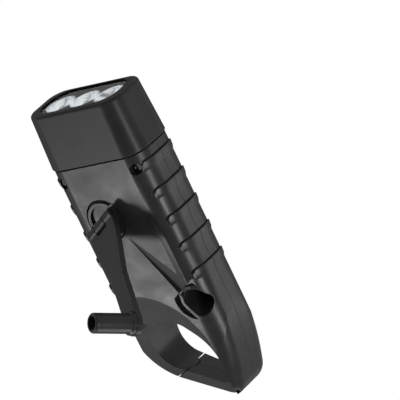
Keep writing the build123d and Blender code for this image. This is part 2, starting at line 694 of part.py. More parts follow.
# ---- solar panel ----------------------------------------------------------------------------
with BuildPart() as solar_bezel:
    extrude(bezel_face(bezel_seat_y, 0.0), amount=bezel_thickness)
    with BuildSketch(at_y(bezel_face_y + bezel_field_depth)) as field_foot:
        with Locations((cell_centre_x, cell_centre_z)):
            Rectangle(cell_width + 2 * bezel_rim, cell_height + 2 * bezel_rim)
    with BuildSketch(at_y(bezel_face_y - 0.1)) as field_mouth:
        Polygon(
            (bezel_left_x + bezel_edge, bezel_top_z + bezel_edge),
            (bezel_right_top_x - bezel_edge, bezel_top_z + bezel_edge),
            (bezel_right_foot_x - bezel_edge, bezel_foot_z - bezel_edge),
            (bezel_left_x + bezel_edge, bezel_foot_z - bezel_edge), align=None,
        )
    loft([field_foot.sketch.face(), field_mouth.sketch.face()], ruled=True, mode=Mode.SUBTRACT)
    with BuildSketch(at_y(bezel_seat_y)) as window_foot:
        with Locations((cell_centre_x, cell_centre_z)):
            RectangleRounded(cell_width + 2 * cell_margin, cell_height + 2 * cell_margin, cell_corner)
    extrude(window_foot.sketch, amount=bezel_thickness, taper=-30, mode=Mode.SUBTRACT)
write(solar_bezel, "solar_bezel")

with BuildPart() as solar_cell:
    with BuildSketch(at_y(cell_seat_y)):
        with Locations((cell_centre_x, cell_centre_z)):
            RectangleRounded(cell_width, cell_height, cell_corner)
    extrude(amount=cell_thickness)
write(solar_cell, "solar_cell")

with BuildPart() as panel_leads:
    for place_x, place_z in panel_lead_places:
        bar(place_x, place_z, 0.4, board_back_y, cell_seat_y)
write(panel_leads, "panel_leads")

# ---- board, capacitor, switch, button, battery ----------------------------------------------
with BuildPart() as main_board:
    block(
        (-board_half_width, board_half_width), (board_back_y, board_y), (board_low_z, board_high_z)
    )
    fillet(main_board.edges().filter_by(Axis.Y), 1.5)
    for place_x, place_z in board_screw_places:
        bar(place_x, place_z, 1.0, board_y + 1, board_back_y - 1, mode=Mode.SUBTRACT)
write(main_board, "main_board")

with BuildPart() as board_screws:
    for place_x, place_z in board_screw_places:
        bar(place_x, place_z, 1.7, board_y + 1.1, board_y)
        bar(place_x, place_z, 0.8, board_y, -10.8)
write(board_screws, "board_screws")

with BuildPart() as capacitor:
    bar(capacitor_x, capacitor_z, capacitor_radius, board_y + capacitor_height, board_y)
    fillet(capacitor.faces().sort_by(Axis.Y)[-1].edges(), 0.5)
write(capacitor, "capacitor")

switch_face_x = -board_half_width
button_flange_x = -cavity_half_width
button_stem_x = switch_face_x - 1.6 - button_travel - 0.05

with BuildPart() as tact_switch:
    block((switch_face_x, switch_face_x + 3.4), (board_y, board_y + 7.2), (button_z - 3, button_z + 3))
    with Locations((switch_face_x, switch_y, button_z)):
        Cylinder(1.4, 1.6, rotation=(0, -90, 0), align=(Align.CENTER, Align.CENTER, Align.MIN))
write(tact_switch, "tact_switch")

with BuildPart() as power_button:
    with BuildSketch(Plane.YZ.offset(-body_half_width - button_proud)) as button_face:
        with Locations((button_y, button_z)):
            RectangleRounded(button_length, button_height, button_height / 2 - 0.1)
    extrude(button_face.sketch, amount=button_flange_x + body_half_width + button_proud)
    fillet(power_button.faces().sort_by(Axis.X)[0].edges(), 0.5)
    with BuildSketch(Plane.YZ.offset(button_flange_x)) as button_flange:
        with Locations((button_y, button_z)):
            RectangleRounded(button_length + 2.0, button_height + 2.0, button_height / 2)
    extrude(button_flange.sketch, amount=0.8)
    with Locations((button_flange_x + 0.8, switch_y, button_z)):
        Cylinder(
            1.3, button_stem_x - button_flange_x - 0.8, rotation=(0, 90, 0),
            align=(Align.CENTER, Align.CENTER, Align.MIN),
        )
write(power_button, "power_button")

with BuildPart() as battery:
    with Locations((0, cell_can_y, cell_can_z)):
        Cylinder(cell_can_radius, cell_can_length, rotation=(0, 90, 0))
    fillet(battery.edges().filter_by(GeomType.CIRCLE), 0.6)
    with Locations((cell_can_length / 2, cell_can_y, cell_can_z)):
        Cylinder(1.8, 0.6, rotation=(0, 90, 0), align=(Align.CENTER, Align.CENTER, Align.MIN))
write(battery, "battery")

with BuildPart() as battery_tabs:
    for low_x, high_x in (
        (-cell_can_length / 2 - 0.3, -cell_can_length / 2), (cell_can_length / 2 + 0.6, cell_can_length / 2 + 0.9),
    ):
        block((low_x, high_x), (board_back_y, cell_can_y + 2.5), (cell_can_z - 2.5, board_low_z))
write(battery_tabs, "battery_tabs")

# ---- gear train and generator ---------------------------------------------------------------
idler_angle = math.radians(idler_heading)
crank_turn = idler_angle
idler_turn = idler_angle + math.pi - math.pi / small_teeth
rotor_angle = math.radians(rotor_heading)
idler_phase = ((rotor_angle - idler_turn) * big_teeth / (2 * math.pi)) % 1.0
rotor_turn = rotor_angle + math.pi - (0.5 - idler_phase) * 2 * math.pi / small_teeth
upper_gear_top_y = upper_gear_y + gear_width
lower_gear_top_y = lower_gear_y + gear_width

with BuildPart() as crank_gear:
    gear(hub_x, hub_z, big_teeth, crank_turn, upper_gear_top_y, upper_gear_y)
    with BuildSketch(at_y(upper_gear_top_y)) as drive_hole:
        with Locations((hub_x, hub_z)):
            Circle(hub_shaft_radius)
        with Locations((hub_x, hub_z + 1.5)):
            Rectangle(8, 4, align=(Align.CENTER, Align.MIN), mode=Mode.SUBTRACT)
    extrude(drive_hole.sketch, amount=gear_width, mode=Mode.SUBTRACT)
write(crank_gear, "crank_gear")

with BuildPart() as idler_gear:
    gear(idler_x, idler_z, big_teeth, idler_turn, lower_gear_top_y, lower_gear_y)
    gear(idler_x, idler_z, small_teeth, idler_turn, upper_gear_top_y, lower_gear_top_y)
    bar(idler_x, idler_z, 2.2, lower_gear_y + 1, plate_y + plate_thickness + 0.1)
    bar(idler_x, idler_z, axle_radius + running_gap, 12.0, 0.0, mode=Mode.SUBTRACT)
write(idler_gear, "idler_gear")

with BuildPart() as rotor_pinion:
    gear(rotor_x, rotor_z, small_teeth, rotor_turn, lower_gear_top_y, lower_gear_y)
    bar(rotor_x, rotor_z, axle_radius, 12.0, 0.0, mode=Mode.SUBTRACT)
write(rotor_pinion, "rotor_pinion")

with BuildPart() as idler_pin:
    bar(idler_x, idler_z, axle_radius, 9.6, plate_y)
write(idler_pin, "idler_pin")

with BuildPart() as gear_plate:
    with BuildSketch(at_y(plate_y + plate_thickness)):
        with Locations(*post_places):
            Circle(3.2)
        with Locations((idler_x, idler_z)):
            Circle(4.0)
        with Locations((rotor_x, rotor_z)):
            Circle(can_radius + 0.6)
        make_hull()
    extrude(amount=plate_thickness)
    for place_x, place_z in post_places:
        bar(place_x, place_z, screw_radius + 0.2, 4.0, 0.0, mode=Mode.SUBTRACT)
    bar(idler_x, idler_z, axle_radius, 4.0, 0.0, mode=Mode.SUBTRACT)
    bar(rotor_x, rotor_z, 2.0, 4.0, 0.0, mode=Mode.SUBTRACT)
write(gear_plate, "gear_plate")

with BuildPart() as gear_plate_screws:
    for place_x, place_z in post_places:
        bar(place_x, place_z, 1.9, plate_y, plate_y - 1.3)
        bar(place_x, place_z, screw_radius, 8.0, plate_y)
write(gear_plate_screws, "gear_plate_screws")

with BuildPart() as rotor_bushes:
    bar(rotor_x, rotor_z, 2.0, 7.5, 5.5)
    bar(rotor_x, rotor_z, 2.0, plate_y + plate_thickness, plate_y)
    bar(rotor_x, rotor_z, axle_radius + running_gap, 12.0, 0.0, mode=Mode.SUBTRACT)
write(rotor_bushes, "rotor_bushes")

magnet_high_y = plate_y - 1.3
with BuildPart() as rotor_shaft:
    bar(rotor_x, rotor_z, axle_radius, 7.7, magnet_high_y - magnet_height)
write(rotor_shaft, "rotor_shaft")

with BuildPart() as rotor_magnet:
    bar(rotor_x, rotor_z, magnet_radius, magnet_high_y, magnet_high_y - magnet_height)
    bar(rotor_x, rotor_z, axle_radius, magnet_high_y + 1, magnet_high_y - magnet_height - 1, mode=Mode.SUBTRACT)
write(rotor_magnet, "rotor_magnet")

can_low_y = plate_y - can_height
with BuildPart() as generator_can:
    bar(rotor_x, rotor_z, can_radius, plate_y, can_low_y)
    bar(rotor_x, rotor_z, can_radius - can_skin, plate_y + 1, can_low_y + can_skin, mode=Mode.SUBTRACT)
write(generator_can, "generator_can")

with BuildPart() as stator_coil:
    bar(rotor_x, rotor_z, can_radius - can_skin, plate_y - 0.7, can_low_y + can_skin)
    bar(rotor_x, rotor_z, coil_inner_radius, plate_y, can_low_y, mode=Mode.SUBTRACT)
write(stator_coil, "stator_coil")

# ---- crank hub ------------------------------------------------------------------------------
hub_low_y = hub_floor_y + 0.15

with BuildPart() as hub_bush:
    bar(hub_x, hub_z, 3.2, hub_floor_y, hub_boss_y)
    bar(hub_x, hub_z, 4.2, hub_boss_y, hub_boss_y - bush_flange)
    bar(hub_x, hub_z, hub_shaft_radius + running_gap, 12.0, 5.0, mode=Mode.SUBTRACT)
write(hub_bush, "hub_bush")

hub_plane = Plane(origin=(hub_x, 0, hub_z), x_dir=toward_pit, z_dir=(0, -1, 0))
with BuildPart() as crank_hub:
    bar(hub_x, hub_z, hub_radius, hub_top_y, hub_low_y)
    fillet(crank_hub.faces().sort_by(Axis.Y)[-1].edges(), 0.4)
    # drive shaft, with a flat where it carries the gear
    bar(hub_x, hub_z, hub_shaft_radius, hub_low_y, upper_gear_top_y)
    with BuildSketch(at_y(upper_gear_top_y)) as drive_end:
        with Locations((hub_x, hub_z)):
            Circle(hub_shaft_radius)
        with Locations((hub_x, hub_z + 1.5)):
            Rectangle(8, 4, align=(Align.CENTER, Align.MIN), mode=Mode.SUBTRACT)
    extrude(drive_end.sketch, amount=gear_width)
    # hinge lug: a block that ends in a barrel round the hinge pin
    with BuildSketch(hub_plane.offset(-hub_top_y)) as lug_foot:
        Rectangle(2 * hinge_barrel_radius, 2 * lug_half_width)
    extrude(lug_foot.sketch, amount=hub_top_y - hinge_y)
    with Locations(Location(Plane(origin=(hub_x, hinge_y, hub_z), x_dir=toward_pit, z_dir=across))):
        Cylinder(hinge_barrel_radius, 2 * lug_half_width)
        Cylinder(hinge_pin_radius + running_gap, 2 * lug_half_width + 2, mode=Mode.SUBTRACT)
    # low guard wall on the lens side of the lug
    with BuildSketch(hub_plane.offset(-hub_top_y + 0.5)) as guard:
        Circle(hub_radius - 0.6)
        Circle(hub_radius - 2.0, mode=Mode.SUBTRACT)
        with Locations((-hub_radius, 0)):
            Rectangle(6.0, 30, align=(Align.MIN, Align.CENTER), mode=Mode.INTERSECT)
    extrude(guard.sketch, amount=-1.7)
    bar(hub_x, hub_z, 0.9, 9.5, 4.0, mode=Mode.SUBTRACT)
write(crank_hub, "crank_hub")

with BuildPart() as hub_screw:
    bar(hub_x, hub_z, 2.7, upper_gear_y, upper_gear_y - 1.0)
    bar(hub_x, hub_z, 0.9, 9.3, upper_gear_y)
write(hub_screw, "hub_screw")

# ---- crank arm, lifted off the back ---------------------------------------------------------
lift = math.radians(arm_lift)
arm_dir = toward_pit * math.cos(lift) + Vector(0, math.sin(lift), 0)
arm_out = toward_pit * -math.sin(lift) + Vector(0, math.cos(lift), 0)
arm_plane = Plane(origin=(hub_x, hinge_y, hub_z), x_dir=arm_dir, z_dir=arm_out)
half_arm = arm_thickness / 2
ear_inner = lug_half_width + hinge_side_gap
knob_gap = 0.05

with BuildPart() as crank_arm:
    with BuildSketch(arm_plane.offset(-half_arm)) as arm_shape:
        Polygon(
            (0, -arm_root_half_width), (arm_root_length, -arm_root_half_width), (arm_taper_end, -arm_half_width),
            (arm_length, -arm_half_width), (arm_length, arm_half_width), (arm_taper_end, arm_half_width),
            (arm_root_length, arm_root_half_width), (0, arm_root_half_width), align=None,
        )
        with Locations((arm_length, 0)):
            Circle(arm_end_radius)
        Rectangle(2 * (hinge_barrel_radius + 1.0), 2 * ear_inner, mode=Mode.SUBTRACT)
    extrude(arm_shape.sketch, amount=arm_thickness)
    for side in (-1, 1):
        ear_middle = side * (ear_inner + arm_root_half_width) / 2
        with Locations(arm_plane.location * Location((0, ear_middle, 0), (90, 0, 0))):
            Cylinder(hinge_barrel_radius, arm_root_half_width - ear_inner)
    with Locations(arm_plane.location * Location((0, 0, 0), (90, 0, 0))):
        Cylinder(hinge_pin_radius, 30.0, mode=Mode.SUBTRACT)
    with Locations(arm_plane.location * Location((arm_length, 0, 0))):
        Cylinder(rivet_radius, 10.0, mode=Mode.SUBTRACT)
write(crank_arm, "crank_arm")

with BuildPart() as hinge_pin:
    with Locations(arm_plane.location * Location((0, 0, 0), (90, 0, 0))):
        Cylinder(hinge_pin_radius, 2 * arm_root_half_width)
write(hinge_pin, "hinge_pin")

knob_plane = Plane(
    origin=Vector(hub_x, hinge_y, hub_z) + arm_dir * arm_length + arm_out * half_arm, x_dir=arm_dir, z_dir=arm_out
)
with BuildPart() as knob:
    with BuildSketch(Plane(origin=knob_plane.origin, x_dir=arm_dir, z_dir=knob_plane.y_dir * -1)) as knob_half:
        with BuildLine():
            Polyline(
                (rivet_radius + knob_gap, knob_gap), (knob_collar_radius, knob_gap),
                (knob_collar_radius, knob_collar_height), (knob_radius, knob_collar_height + 0.5),
                (knob_radius, knob_length - knob_end_round),
            )
            RadiusArc(
                (knob_radius, knob_length - knob_end_round), (knob_radius - knob_end_round, knob_length),
                -knob_end_round,
            )
            Polyline(
                (knob_radius - knob_end_round, knob_length), (knob_bore_radius, knob_length),
                (knob_bore_radius, knob_web), (rivet_radius + knob_gap, knob_web),
                (rivet_radius + knob_gap, knob_gap),
            )
        make_face()
    revolve(knob_half.sketch, axis=Axis(knob_plane.origin, knob_plane.z_dir))
write(knob, "knob")

with BuildPart() as knob_rivet:
    with Locations(arm_plane.location * Location((arm_length, 0, -half_arm))):
        Cylinder(rivet_radius, arm_thickness + knob_web + knob_gap, align=(Align.CENTER, Align.CENTER, Align.MIN))
        Cylinder(rivet_head_radius, rivet_head_height, align=(Align.CENTER, Align.CENTER, Align.MAX))
    fillet(knob_rivet.faces().sort_by(Axis(knob_plane.origin, knob_plane.z_dir))[0].edges(), 0.9)
    with Locations(arm_plane.location * Location((arm_length, 0, half_arm + knob_web + knob_gap))):
        Cylinder(rivet_head_radius, 1.0, align=(Align.CENTER, Align.CENTER, Align.MIN))
write(knob_rivet, "knob_rivet")

# ---- gate, its pin and spring ---------------------------------------------------------------
with BuildPart() as gate:
    with BuildSketch(at_y(20.0)):
        Polygon(*gate_side_points, align=None)
        with Locations((gate_pin_x, gate_pin_z)):
            Circle(knuckle_radius)
            Circle(gate_reach, mode=Mode.INTERSECT)
    extrude(amount=40.0)
    bar(
        gate_pin_x, gate_pin_z, knuckle_radius + 0.25, tongue_half_depth + tongue_gap,
        -tongue_half_depth - tongue_gap, mode=Mode.SUBTRACT,
    )
    with BuildSketch(at_y(nose_half_depth)):
        with Locations((gate_pin_x, gate_pin_z)):
            Circle(gate_reach + nose_length)
            Circle(gate_reach - 1, mode=Mode.SUBTRACT)
        Polygon((gate_pin_x, gate_pin_z), nose_start, nose_end, align=None, mode=Mode.INTERSECT)
    extrude(amount=2 * nose_half_depth)
    add(body_form.part, mode=Mode.INTERSECT)
    bar(gate_pin_x, gate_pin_z, gate_pin_radius + running_gap, 20.0, -20.0, mode=Mode.SUBTRACT)
write(gate, "gate")

with BuildPart() as gate_pin:
    bar(gate_pin_x, gate_pin_z, gate_pin_radius, 9.6, -9.6)
write(gate_pin, "gate_pin")

with BuildPart() as gate_spring:
    spring_plane = Plane(origin=(gate_pin_x, 0, gate_pin_z), x_dir=(1, 0, 0), z_dir=(0, 0, 1))
    with BuildSketch(spring_plane) as coil_section:
        with Locations((2.0, -1.425), (2.0, -0.475), (2.0, 0.475), (2.0, 1.425)):
            Circle(0.478)
    revolve(coil_section.sketch, axis=Axis((gate_pin_x, 0, gate_pin_z), (0, 1, 0)))
write(gate_spring, "gate_spring")

# ---- screws that hold the shells together ---------------------------------------------------
with BuildPart() as case_screws:
    for side in (-1, 1):
        bar(side * case_screw_x, case_screw_z, case_head_radius, case_seat_y + case_head_height, case_seat_y)
        bar(side * case_screw_x, case_screw_z, screw_radius, case_seat_y, -6.5)
    bar(tail_screw_x, tail_screw_z, 1.55, tail_seat_y + 1.3, tail_seat_y)
    bar(tail_screw_x, tail_screw_z, 0.8, tail_seat_y, -3.2)
write(case_screws, "case_screws")
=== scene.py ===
import json
import math

import bmesh
import bpy
from mathutils import Matrix, Vector


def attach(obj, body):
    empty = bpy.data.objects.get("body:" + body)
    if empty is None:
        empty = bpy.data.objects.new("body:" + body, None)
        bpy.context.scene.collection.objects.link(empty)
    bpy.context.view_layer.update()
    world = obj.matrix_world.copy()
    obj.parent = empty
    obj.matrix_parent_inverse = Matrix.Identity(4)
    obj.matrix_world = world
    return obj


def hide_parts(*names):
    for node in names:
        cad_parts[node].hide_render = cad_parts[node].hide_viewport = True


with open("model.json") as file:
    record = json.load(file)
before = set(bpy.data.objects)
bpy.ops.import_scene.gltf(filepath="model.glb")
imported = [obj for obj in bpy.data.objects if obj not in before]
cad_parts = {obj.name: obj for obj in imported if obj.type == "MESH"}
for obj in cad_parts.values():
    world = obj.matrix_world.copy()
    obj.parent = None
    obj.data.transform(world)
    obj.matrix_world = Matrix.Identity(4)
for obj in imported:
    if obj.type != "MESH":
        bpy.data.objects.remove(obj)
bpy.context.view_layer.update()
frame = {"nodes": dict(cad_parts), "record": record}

bodies = frame["record"]["behaviour"]["bodies"]
body_of_node = {node: body for body, nodes in bodies.items() for node in nodes}
slots = {part["node"]: part["material_slot"] for part in frame["record"]["subparts"]}
scene = bpy.context.scene
scene.view_settings.view_transform = "Standard"

# ---- the object's own sizes, in metres, read from its CAD nodes ------------------------------
MM = 0.001
MERGE_DISTANCE = 2e-6
LAMPS = ("led_left", "led_middle", "led_right")


def box_corners(spots):
    """The low and high corners of the box round some points."""
    return tuple(Vector([pick(spot[axis] for spot in spots) for axis in range(3)]) for pick in (min, max))


def node_box(node):
    """The low and high corners of a CAD node."""
    return box_corners([vert.co for vert in frame["nodes"][node].data.vertices])


def solid_boxes(node):
    """The corners of each separate solid in a CAD node, sorted by height and then from -X to +X."""
    work = bmesh.new()
    work.from_mesh(frame["nodes"][node].data)
    bmesh.ops.remove_doubles(work, verts=work.verts, dist=MERGE_DISTANCE)
    unvisited, boxes = set(work.verts), []
    while unvisited:
        front, solid = [unvisited.pop()], []
        while front:
            vert = front.pop()
            solid.append(vert.co.copy())
            for edge in vert.link_edges:
                other = edge.other_vert(vert)
                if other in unvisited:
                    unvisited.remove(other)
                    front.append(other)
        boxes.append(box_corners(solid))
    work.free()
    return sorted(boxes, key=lambda box: (round(box[0].z, 4), box[0].x))


CELL_LOW, CELL_HIGH = node_box("solar_cell")
CELL_MIDDLE, CELL_SIZE = (CELL_LOW + CELL_HIGH) / 2, CELL_HIGH - CELL_LOW
CELL_STRIPES = 9
CELL_BORDER, CELL_BORDER_BLEND = 0.6 * MM, 0.3 * MM


# ---- shader helpers --------------------------------------------------------------------------
def new_group(name, inputs, outputs):
    """A shader node group with named inputs and outputs."""
    group = bpy.data.node_groups.new(name, "ShaderNodeTree")
    for label, kind, value in inputs:
        socket = group.interface.new_socket(name=label, in_out="INPUT", socket_type=kind)
        socket.default_value = value
    for label, kind in outputs:
        group.interface.new_socket(name=label, in_out="OUTPUT", socket_type=kind)
    return group, group.nodes.new("NodeGroupInput"), group.nodes.new("NodeGroupOutput")


def feed(tree, value, socket):
    """Set a socket to a number or a colour, or link another socket to it."""
    if isinstance(value, (int, float, tuple)):
        socket.default_value = value
    else:
        tree.links.new(value, socket)


def own_place(tree):
    """The piece's own coordinates."""
    return tree.nodes.new("ShaderNodeTexCoord").outputs["Object"]


def maths(tree, operation, a, b=None, clamp=False):
    """A Math node fed by sockets or numbers."""
    node = tree.nodes.new("ShaderNodeMath")
    node.operation = operation
    node.use_clamp = clamp
    feed(tree, a, node.inputs[0])
    if b is not None:
        feed(tree, b, node.inputs[1])
    return node.outputs[0]


def mix_colours(tree, factor, a, b):
    """A colour between two others."""
    node = tree.nodes.new("ShaderNodeMix")
    node.data_type = "RGBA"
    for slot, value in ((0, factor), (6, a), (7, b)):
        feed(tree, value, node.inputs[slot])
    return node.outputs[2]


def mix_shaders(tree, factor, first, second):
    """The first shader where the factor is 0, and the second where it is 1."""
    node = tree.nodes.new("ShaderNodeMixShader")
    for slot, value in enumerate((factor, first, second)):
        tree.links.new(value, node.inputs[slot])
    return node.outputs[0]


def spread(tree, value, low, high, to_low=0.0, to_high=1.0):
    """A value moved from one range to another, and held inside it."""
    node = tree.nodes.new("ShaderNodeMapRange")
    tree.links.new(value, node.inputs["Value"])
    node.inputs["From Min"].default_value = low
    node.inputs["From Max"].default_value = high
    node.inputs["To Min"].default_value = to_low
    node.inputs["To Max"].default_value = to_high
    return node.outputs[0]


def noise(tree, coordinates, scale, detail, roughness):
    """Noise on the piece's own coordinates."""
    node = tree.nodes.new("ShaderNodeTexNoise")
    tree.links.new(coordinates, node.inputs["Vector"])
    feed(tree, scale, node.inputs["Scale"])
    node.inputs["Detail"].default_value = detail
    node.inputs["Roughness"].default_value = roughness
    return node.outputs[0]


def rounded_normal(tree, radius):
    """The normal blended across edges, over a radius given by a socket."""
    node = tree.nodes.new("ShaderNodeBevel")
    node.samples = 4
    tree.links.new(radius, node.inputs["Radius"])
    return node.outputs[0]


BUMP_DISTANCE = 0.02 * MM


def bumped(tree, height, strength, normal=None):
    """A normal ruffled by a height."""
    node = tree.nodes.new("ShaderNodeBump")
    node.inputs["Distance"].default_value = BUMP_DISTANCE
    feed(tree, strength, node.inputs["Strength"])
    tree.links.new(height, node.inputs["Height"])
    if normal is not None:
        tree.links.new(normal, node.inputs["Normal"])
    return node.outputs[0]


# ---- effects that several materials share ----------------------------------------------------
def grain_group():
    """Moulded grain: the fine spark-eroded texture of a plastic moulding, with faint handling marks."""
    group, start, end = new_group(
        "moulded grain",
        [("Grain Size", "NodeSocketFloat", 3500.0), ("Grain Depth", "NodeSocketFloat", 0.2),
         ("Smudge Size", "NodeSocketFloat", 70.0), ("Edge Round", "NodeSocketFloat", 0.0003)],
        [("Smudge", "NodeSocketFloat"), ("Speck", "NodeSocketFloat"), ("Normal", "NodeSocketVector")],
    )
    where = own_place(group)
    fine = noise(group, where, start.outputs["Grain Size"], 2.0, 0.5)
    smudge = noise(group, where, start.outputs["Smudge Size"], 5.0, 0.62)
    speck = noise(group, where, 2600.0, 1.0, 0.4)
    rounded = rounded_normal(group, start.outputs["Edge Round"])
    group.links.new(spread(group, smudge, 0.35, 0.68), end.inputs["Smudge"])
    group.links.new(spread(group, speck, 0.76, 0.84), end.inputs["Speck"])
    group.links.new(bumped(group, fine, start.outputs["Grain Depth"], rounded), end.inputs["Normal"])
    return group


def wear_group():
    """Edge wear: a mask along the edges, broken up by noise."""
    group, start, end = new_group(
        "edge wear",
        [("Width", "NodeSocketFloat", 0.0004), ("Amount", "NodeSocketFloat", 0.5)],
        [("Mask", "NodeSocketFloat")],
    )
    where = own_place(group)
    # the rounded normal leans away from the true one near an edge
    lean = group.nodes.new("ShaderNodeVectorMath")
    lean.operation = "DOT_PRODUCT"
    group.links.new(rounded_normal(group, start.outputs["Width"]), lean.inputs[0])
    group.links.new(group.nodes.new("ShaderNodeNewGeometry").outputs["Normal"], lean.inputs[1])
    edge = spread(group, lean.outputs["Value"], 0.995, 0.90)
    broken = spread(group, noise(group, where, 900.0, 4.0, 0.6), 0.4, 0.62)
    worn = maths(group, "MULTIPLY", edge, broken)
    worn = maths(group, "MULTIPLY", worn, start.outputs["Amount"], clamp=True)
    group.links.new(worn, end.inputs["Mask"])
    return group


def streak_group():
    """Metal streaks: the fine lines that turning, drawing or winding leaves round or along a piece."""
    group, start, end = new_group(
        "metal streaks",
        [("Stretch", "NodeSocketVector", (1.0, 1.0, 1.0)), ("Size", "NodeSocketFloat", 900.0),
         ("Depth", "NodeSocketFloat", 0.15)],
        [("Streak", "NodeSocketFloat"), ("Normal", "NodeSocketVector")],
    )
    pulled = group.nodes.new("ShaderNodeVectorMath")
    pulled.operation = "MULTIPLY"
    group.links.new(own_place(group), pulled.inputs[0])
    group.links.new(start.outputs["Stretch"], pulled.inputs[1])
    lines = noise(group, pulled.outputs[0], start.outputs["Size"], 4.0, 0.6)
    group.links.new(lines, end.inputs["Streak"])
    group.links.new(bumped(group, lines, start.outputs["Depth"]), end.inputs["Normal"])
    return group


grain, wear, streaks = grain_group(), wear_group(), streak_group()


# ---- kinds of material -----------------------------------------------------------------------
EDGE_ROUND, WEAR_WIDTH = 0.3 * MM, 0.48 * MM
DUST_COLOUR, DUST_AMOUNT = (0.22, 0.22, 0.21, 1.0), 0.12
# a smudge is this much lighter than clean plastic, and a little lighter still on the blackest
SMUDGE_GAIN, SMUDGE_LIFT = 1.35, 0.002
# where a skin starts to lose its gloss as it turns edge on, where it has lost most, and by how much
DULL_START, DULL_END, DULL_AMOUNT = 0.40, 0.82, 0.66


def new_material(name):
    """A material, its node tree and its Principled shader."""
    material = bpy.data.materials.new(name)
    material.use_nodes = True
    shader = material.node_tree.nodes["Principled BSDF"]
    return material, material.node_tree, shader


def place_group(tree, group, **values):
    """One use of a shader group, with its own values."""
    node = tree.nodes.new("ShaderNodeGroup")
    node.node_tree = group
    for label, value in values.items():
        node.inputs[label.replace("_", " ")].default_value = value
    return node


def moulded(name, colour, worn_colour, roughness, grain_depth=0.25, wear_amount=0.35, specular=0.5):
    """Moulded plastic: grain, faint smudges, a few specks of dust and edges that have been handled."""
    material, tree, shader = new_material(name)
    marks = place_group(tree, grain, Grain_Depth=grain_depth, Edge_Round=EDGE_ROUND)
    rub = place_group(tree, wear, Width=WEAR_WIDTH, Amount=wear_amount)
    lighter = tuple(min(1.0, c * SMUDGE_GAIN + SMUDGE_LIFT) for c in colour[:3]) + (1.0,)
    base = mix_colours(tree, marks.outputs["Smudge"], colour, lighter)
    base = mix_colours(tree, rub.outputs["Mask"], base, worn_colour)
    dust = maths(tree, "MULTIPLY", marks.outputs["Speck"], DUST_AMOUNT)
    base = mix_colours(tree, dust, base, DUST_COLOUR)
    tree.links.new(base, shader.inputs["Base Color"])
    # a moulded skin is duller where it is smudged and where it is seen edge on
    gloss = spread(tree, marks.outputs["Smudge"], 0.0, 1.0, roughness - 0.04, roughness + 0.07)
    grazing = tree.nodes.new("ShaderNodeLayerWeight")
    grazing.inputs["Blend"].default_value = 0.5
    dulled = spread(tree, grazing.outputs["Facing"], DULL_START, DULL_END, 0.0, DULL_AMOUNT)
    tree.links.new(maths(tree, "ADD", gloss, dulled, clamp=True), shader.inputs["Roughness"])
    shader.inputs["Specular IOR Level"].default_value = specular
    tree.links.new(marks.outputs["Normal"], shader.inputs["Normal"])
    return material


def metal(name, colour, dark, roughness, stretch=(1.0, 1.0, 1.0), size=900.0, depth=0.15):
    """Bare metal with streaks left by its making."""
    material, tree, shader = new_material(name)
    marks = place_group(tree, streaks, Stretch=stretch, Size=size, Depth=depth)
    streak = marks.outputs["Streak"]
    gloss = spread(tree, streak, 0.3, 0.7, roughness - 0.06, roughness + 0.08)
    tree.links.new(mix_colours(tree, streak, dark, colour), shader.inputs["Base Color"])
    tree.links.new(gloss, shader.inputs["Roughness"])
    shader.inputs["Metallic"].default_value = 1.0
    tree.links.new(marks.outputs["Normal"], shader.inputs["Normal"])
    return material


def board_material():
    """Green solder mask over faint copper runs, with a fine grain."""
    material, tree, shader = new_material("board")
    runs = tree.nodes.new("ShaderNodeTexBrick")
    tree.links.new(own_place(tree), runs.inputs["Vector"])
    runs.inputs["Scale"].default_value = 300.0
    runs.inputs["Mortar Size"].default_value = 0.10
    runs.inputs["Color1"].default_value = (0.010, 0.095, 0.030, 1)
    runs.inputs["Color2"].default_value = (0.014, 0.120, 0.040, 1)
    runs.inputs["Mortar"].default_value = (0.025, 0.170, 0.060, 1)
    marks = place_group(tree, grain, Grain_Depth=0.15, Grain_Size=2200.0)
    base = mix_colours(tree, marks.outputs["Smudge"], runs.outputs["Color"], (0.012, 0.10, 0.035, 1))
    tree.links.new(base, shader.inputs["Base Color"])
    tree.links.new(marks.outputs["Normal"], shader.inputs["Normal"])
    shader.inputs["Roughness"].default_value = 0.3
    return material


def cell_material():
    """Amorphous film: a copper-brown sheet, darker along its border, under a clear resin coat."""
    material, tree, shader = new_material("solar film")
    where = own_place(tree)
    place = tree.nodes.new("ShaderNodeSeparateXYZ")
    tree.links.new(where, place.inputs[0])
    cloud = spread(tree, noise(tree, where, 60.0, 3.0, 0.5), 0.3, 0.7)
    base = mix_colours(tree, cloud, (0.30, 0.135, 0.075, 1), (0.36, 0.170, 0.098, 1))
    # a slow change of tone from one end of the sheet to the other
    run = spread(tree, place.outputs["Z"], CELL_LOW.z, CELL_HIGH.z)
    base = mix_colours(tree, maths(tree, "MULTIPLY", run, 0.35), base, (0.25, 0.110, 0.062, 1))
    # the sheet is darker in a narrow band round its border
    bands = []
    for axis, middle, width in (("X", CELL_MIDDLE.x, CELL_SIZE.x), ("Z", CELL_MIDDLE.z, CELL_SIZE.z)):
        off = maths(tree, "ABSOLUTE", maths(tree, "SUBTRACT", place.outputs[axis], middle))
        inner = width / 2 - CELL_BORDER
        bands.append(spread(tree, off, inner, inner + CELL_BORDER_BLEND))
    base = mix_colours(tree, maths(tree, "MAXIMUM", *bands), base, (0.10, 0.07, 0.05, 1))
    tree.links.new(base, shader.inputs["Base Color"])
    marks = place_group(tree, grain, Grain_Depth=0.06, Grain_Size=1400.0)
    tree.links.new(spread(tree, marks.outputs["Smudge"], 0, 1, 0.22, 0.32), shader.inputs["Roughness"])
    tree.links.new(marks.outputs["Normal"], shader.inputs["Normal"])
    shader.inputs["Coat Weight"].default_value = 0.6
    shader.inputs["Coat Roughness"].default_value = 0.08
    return material


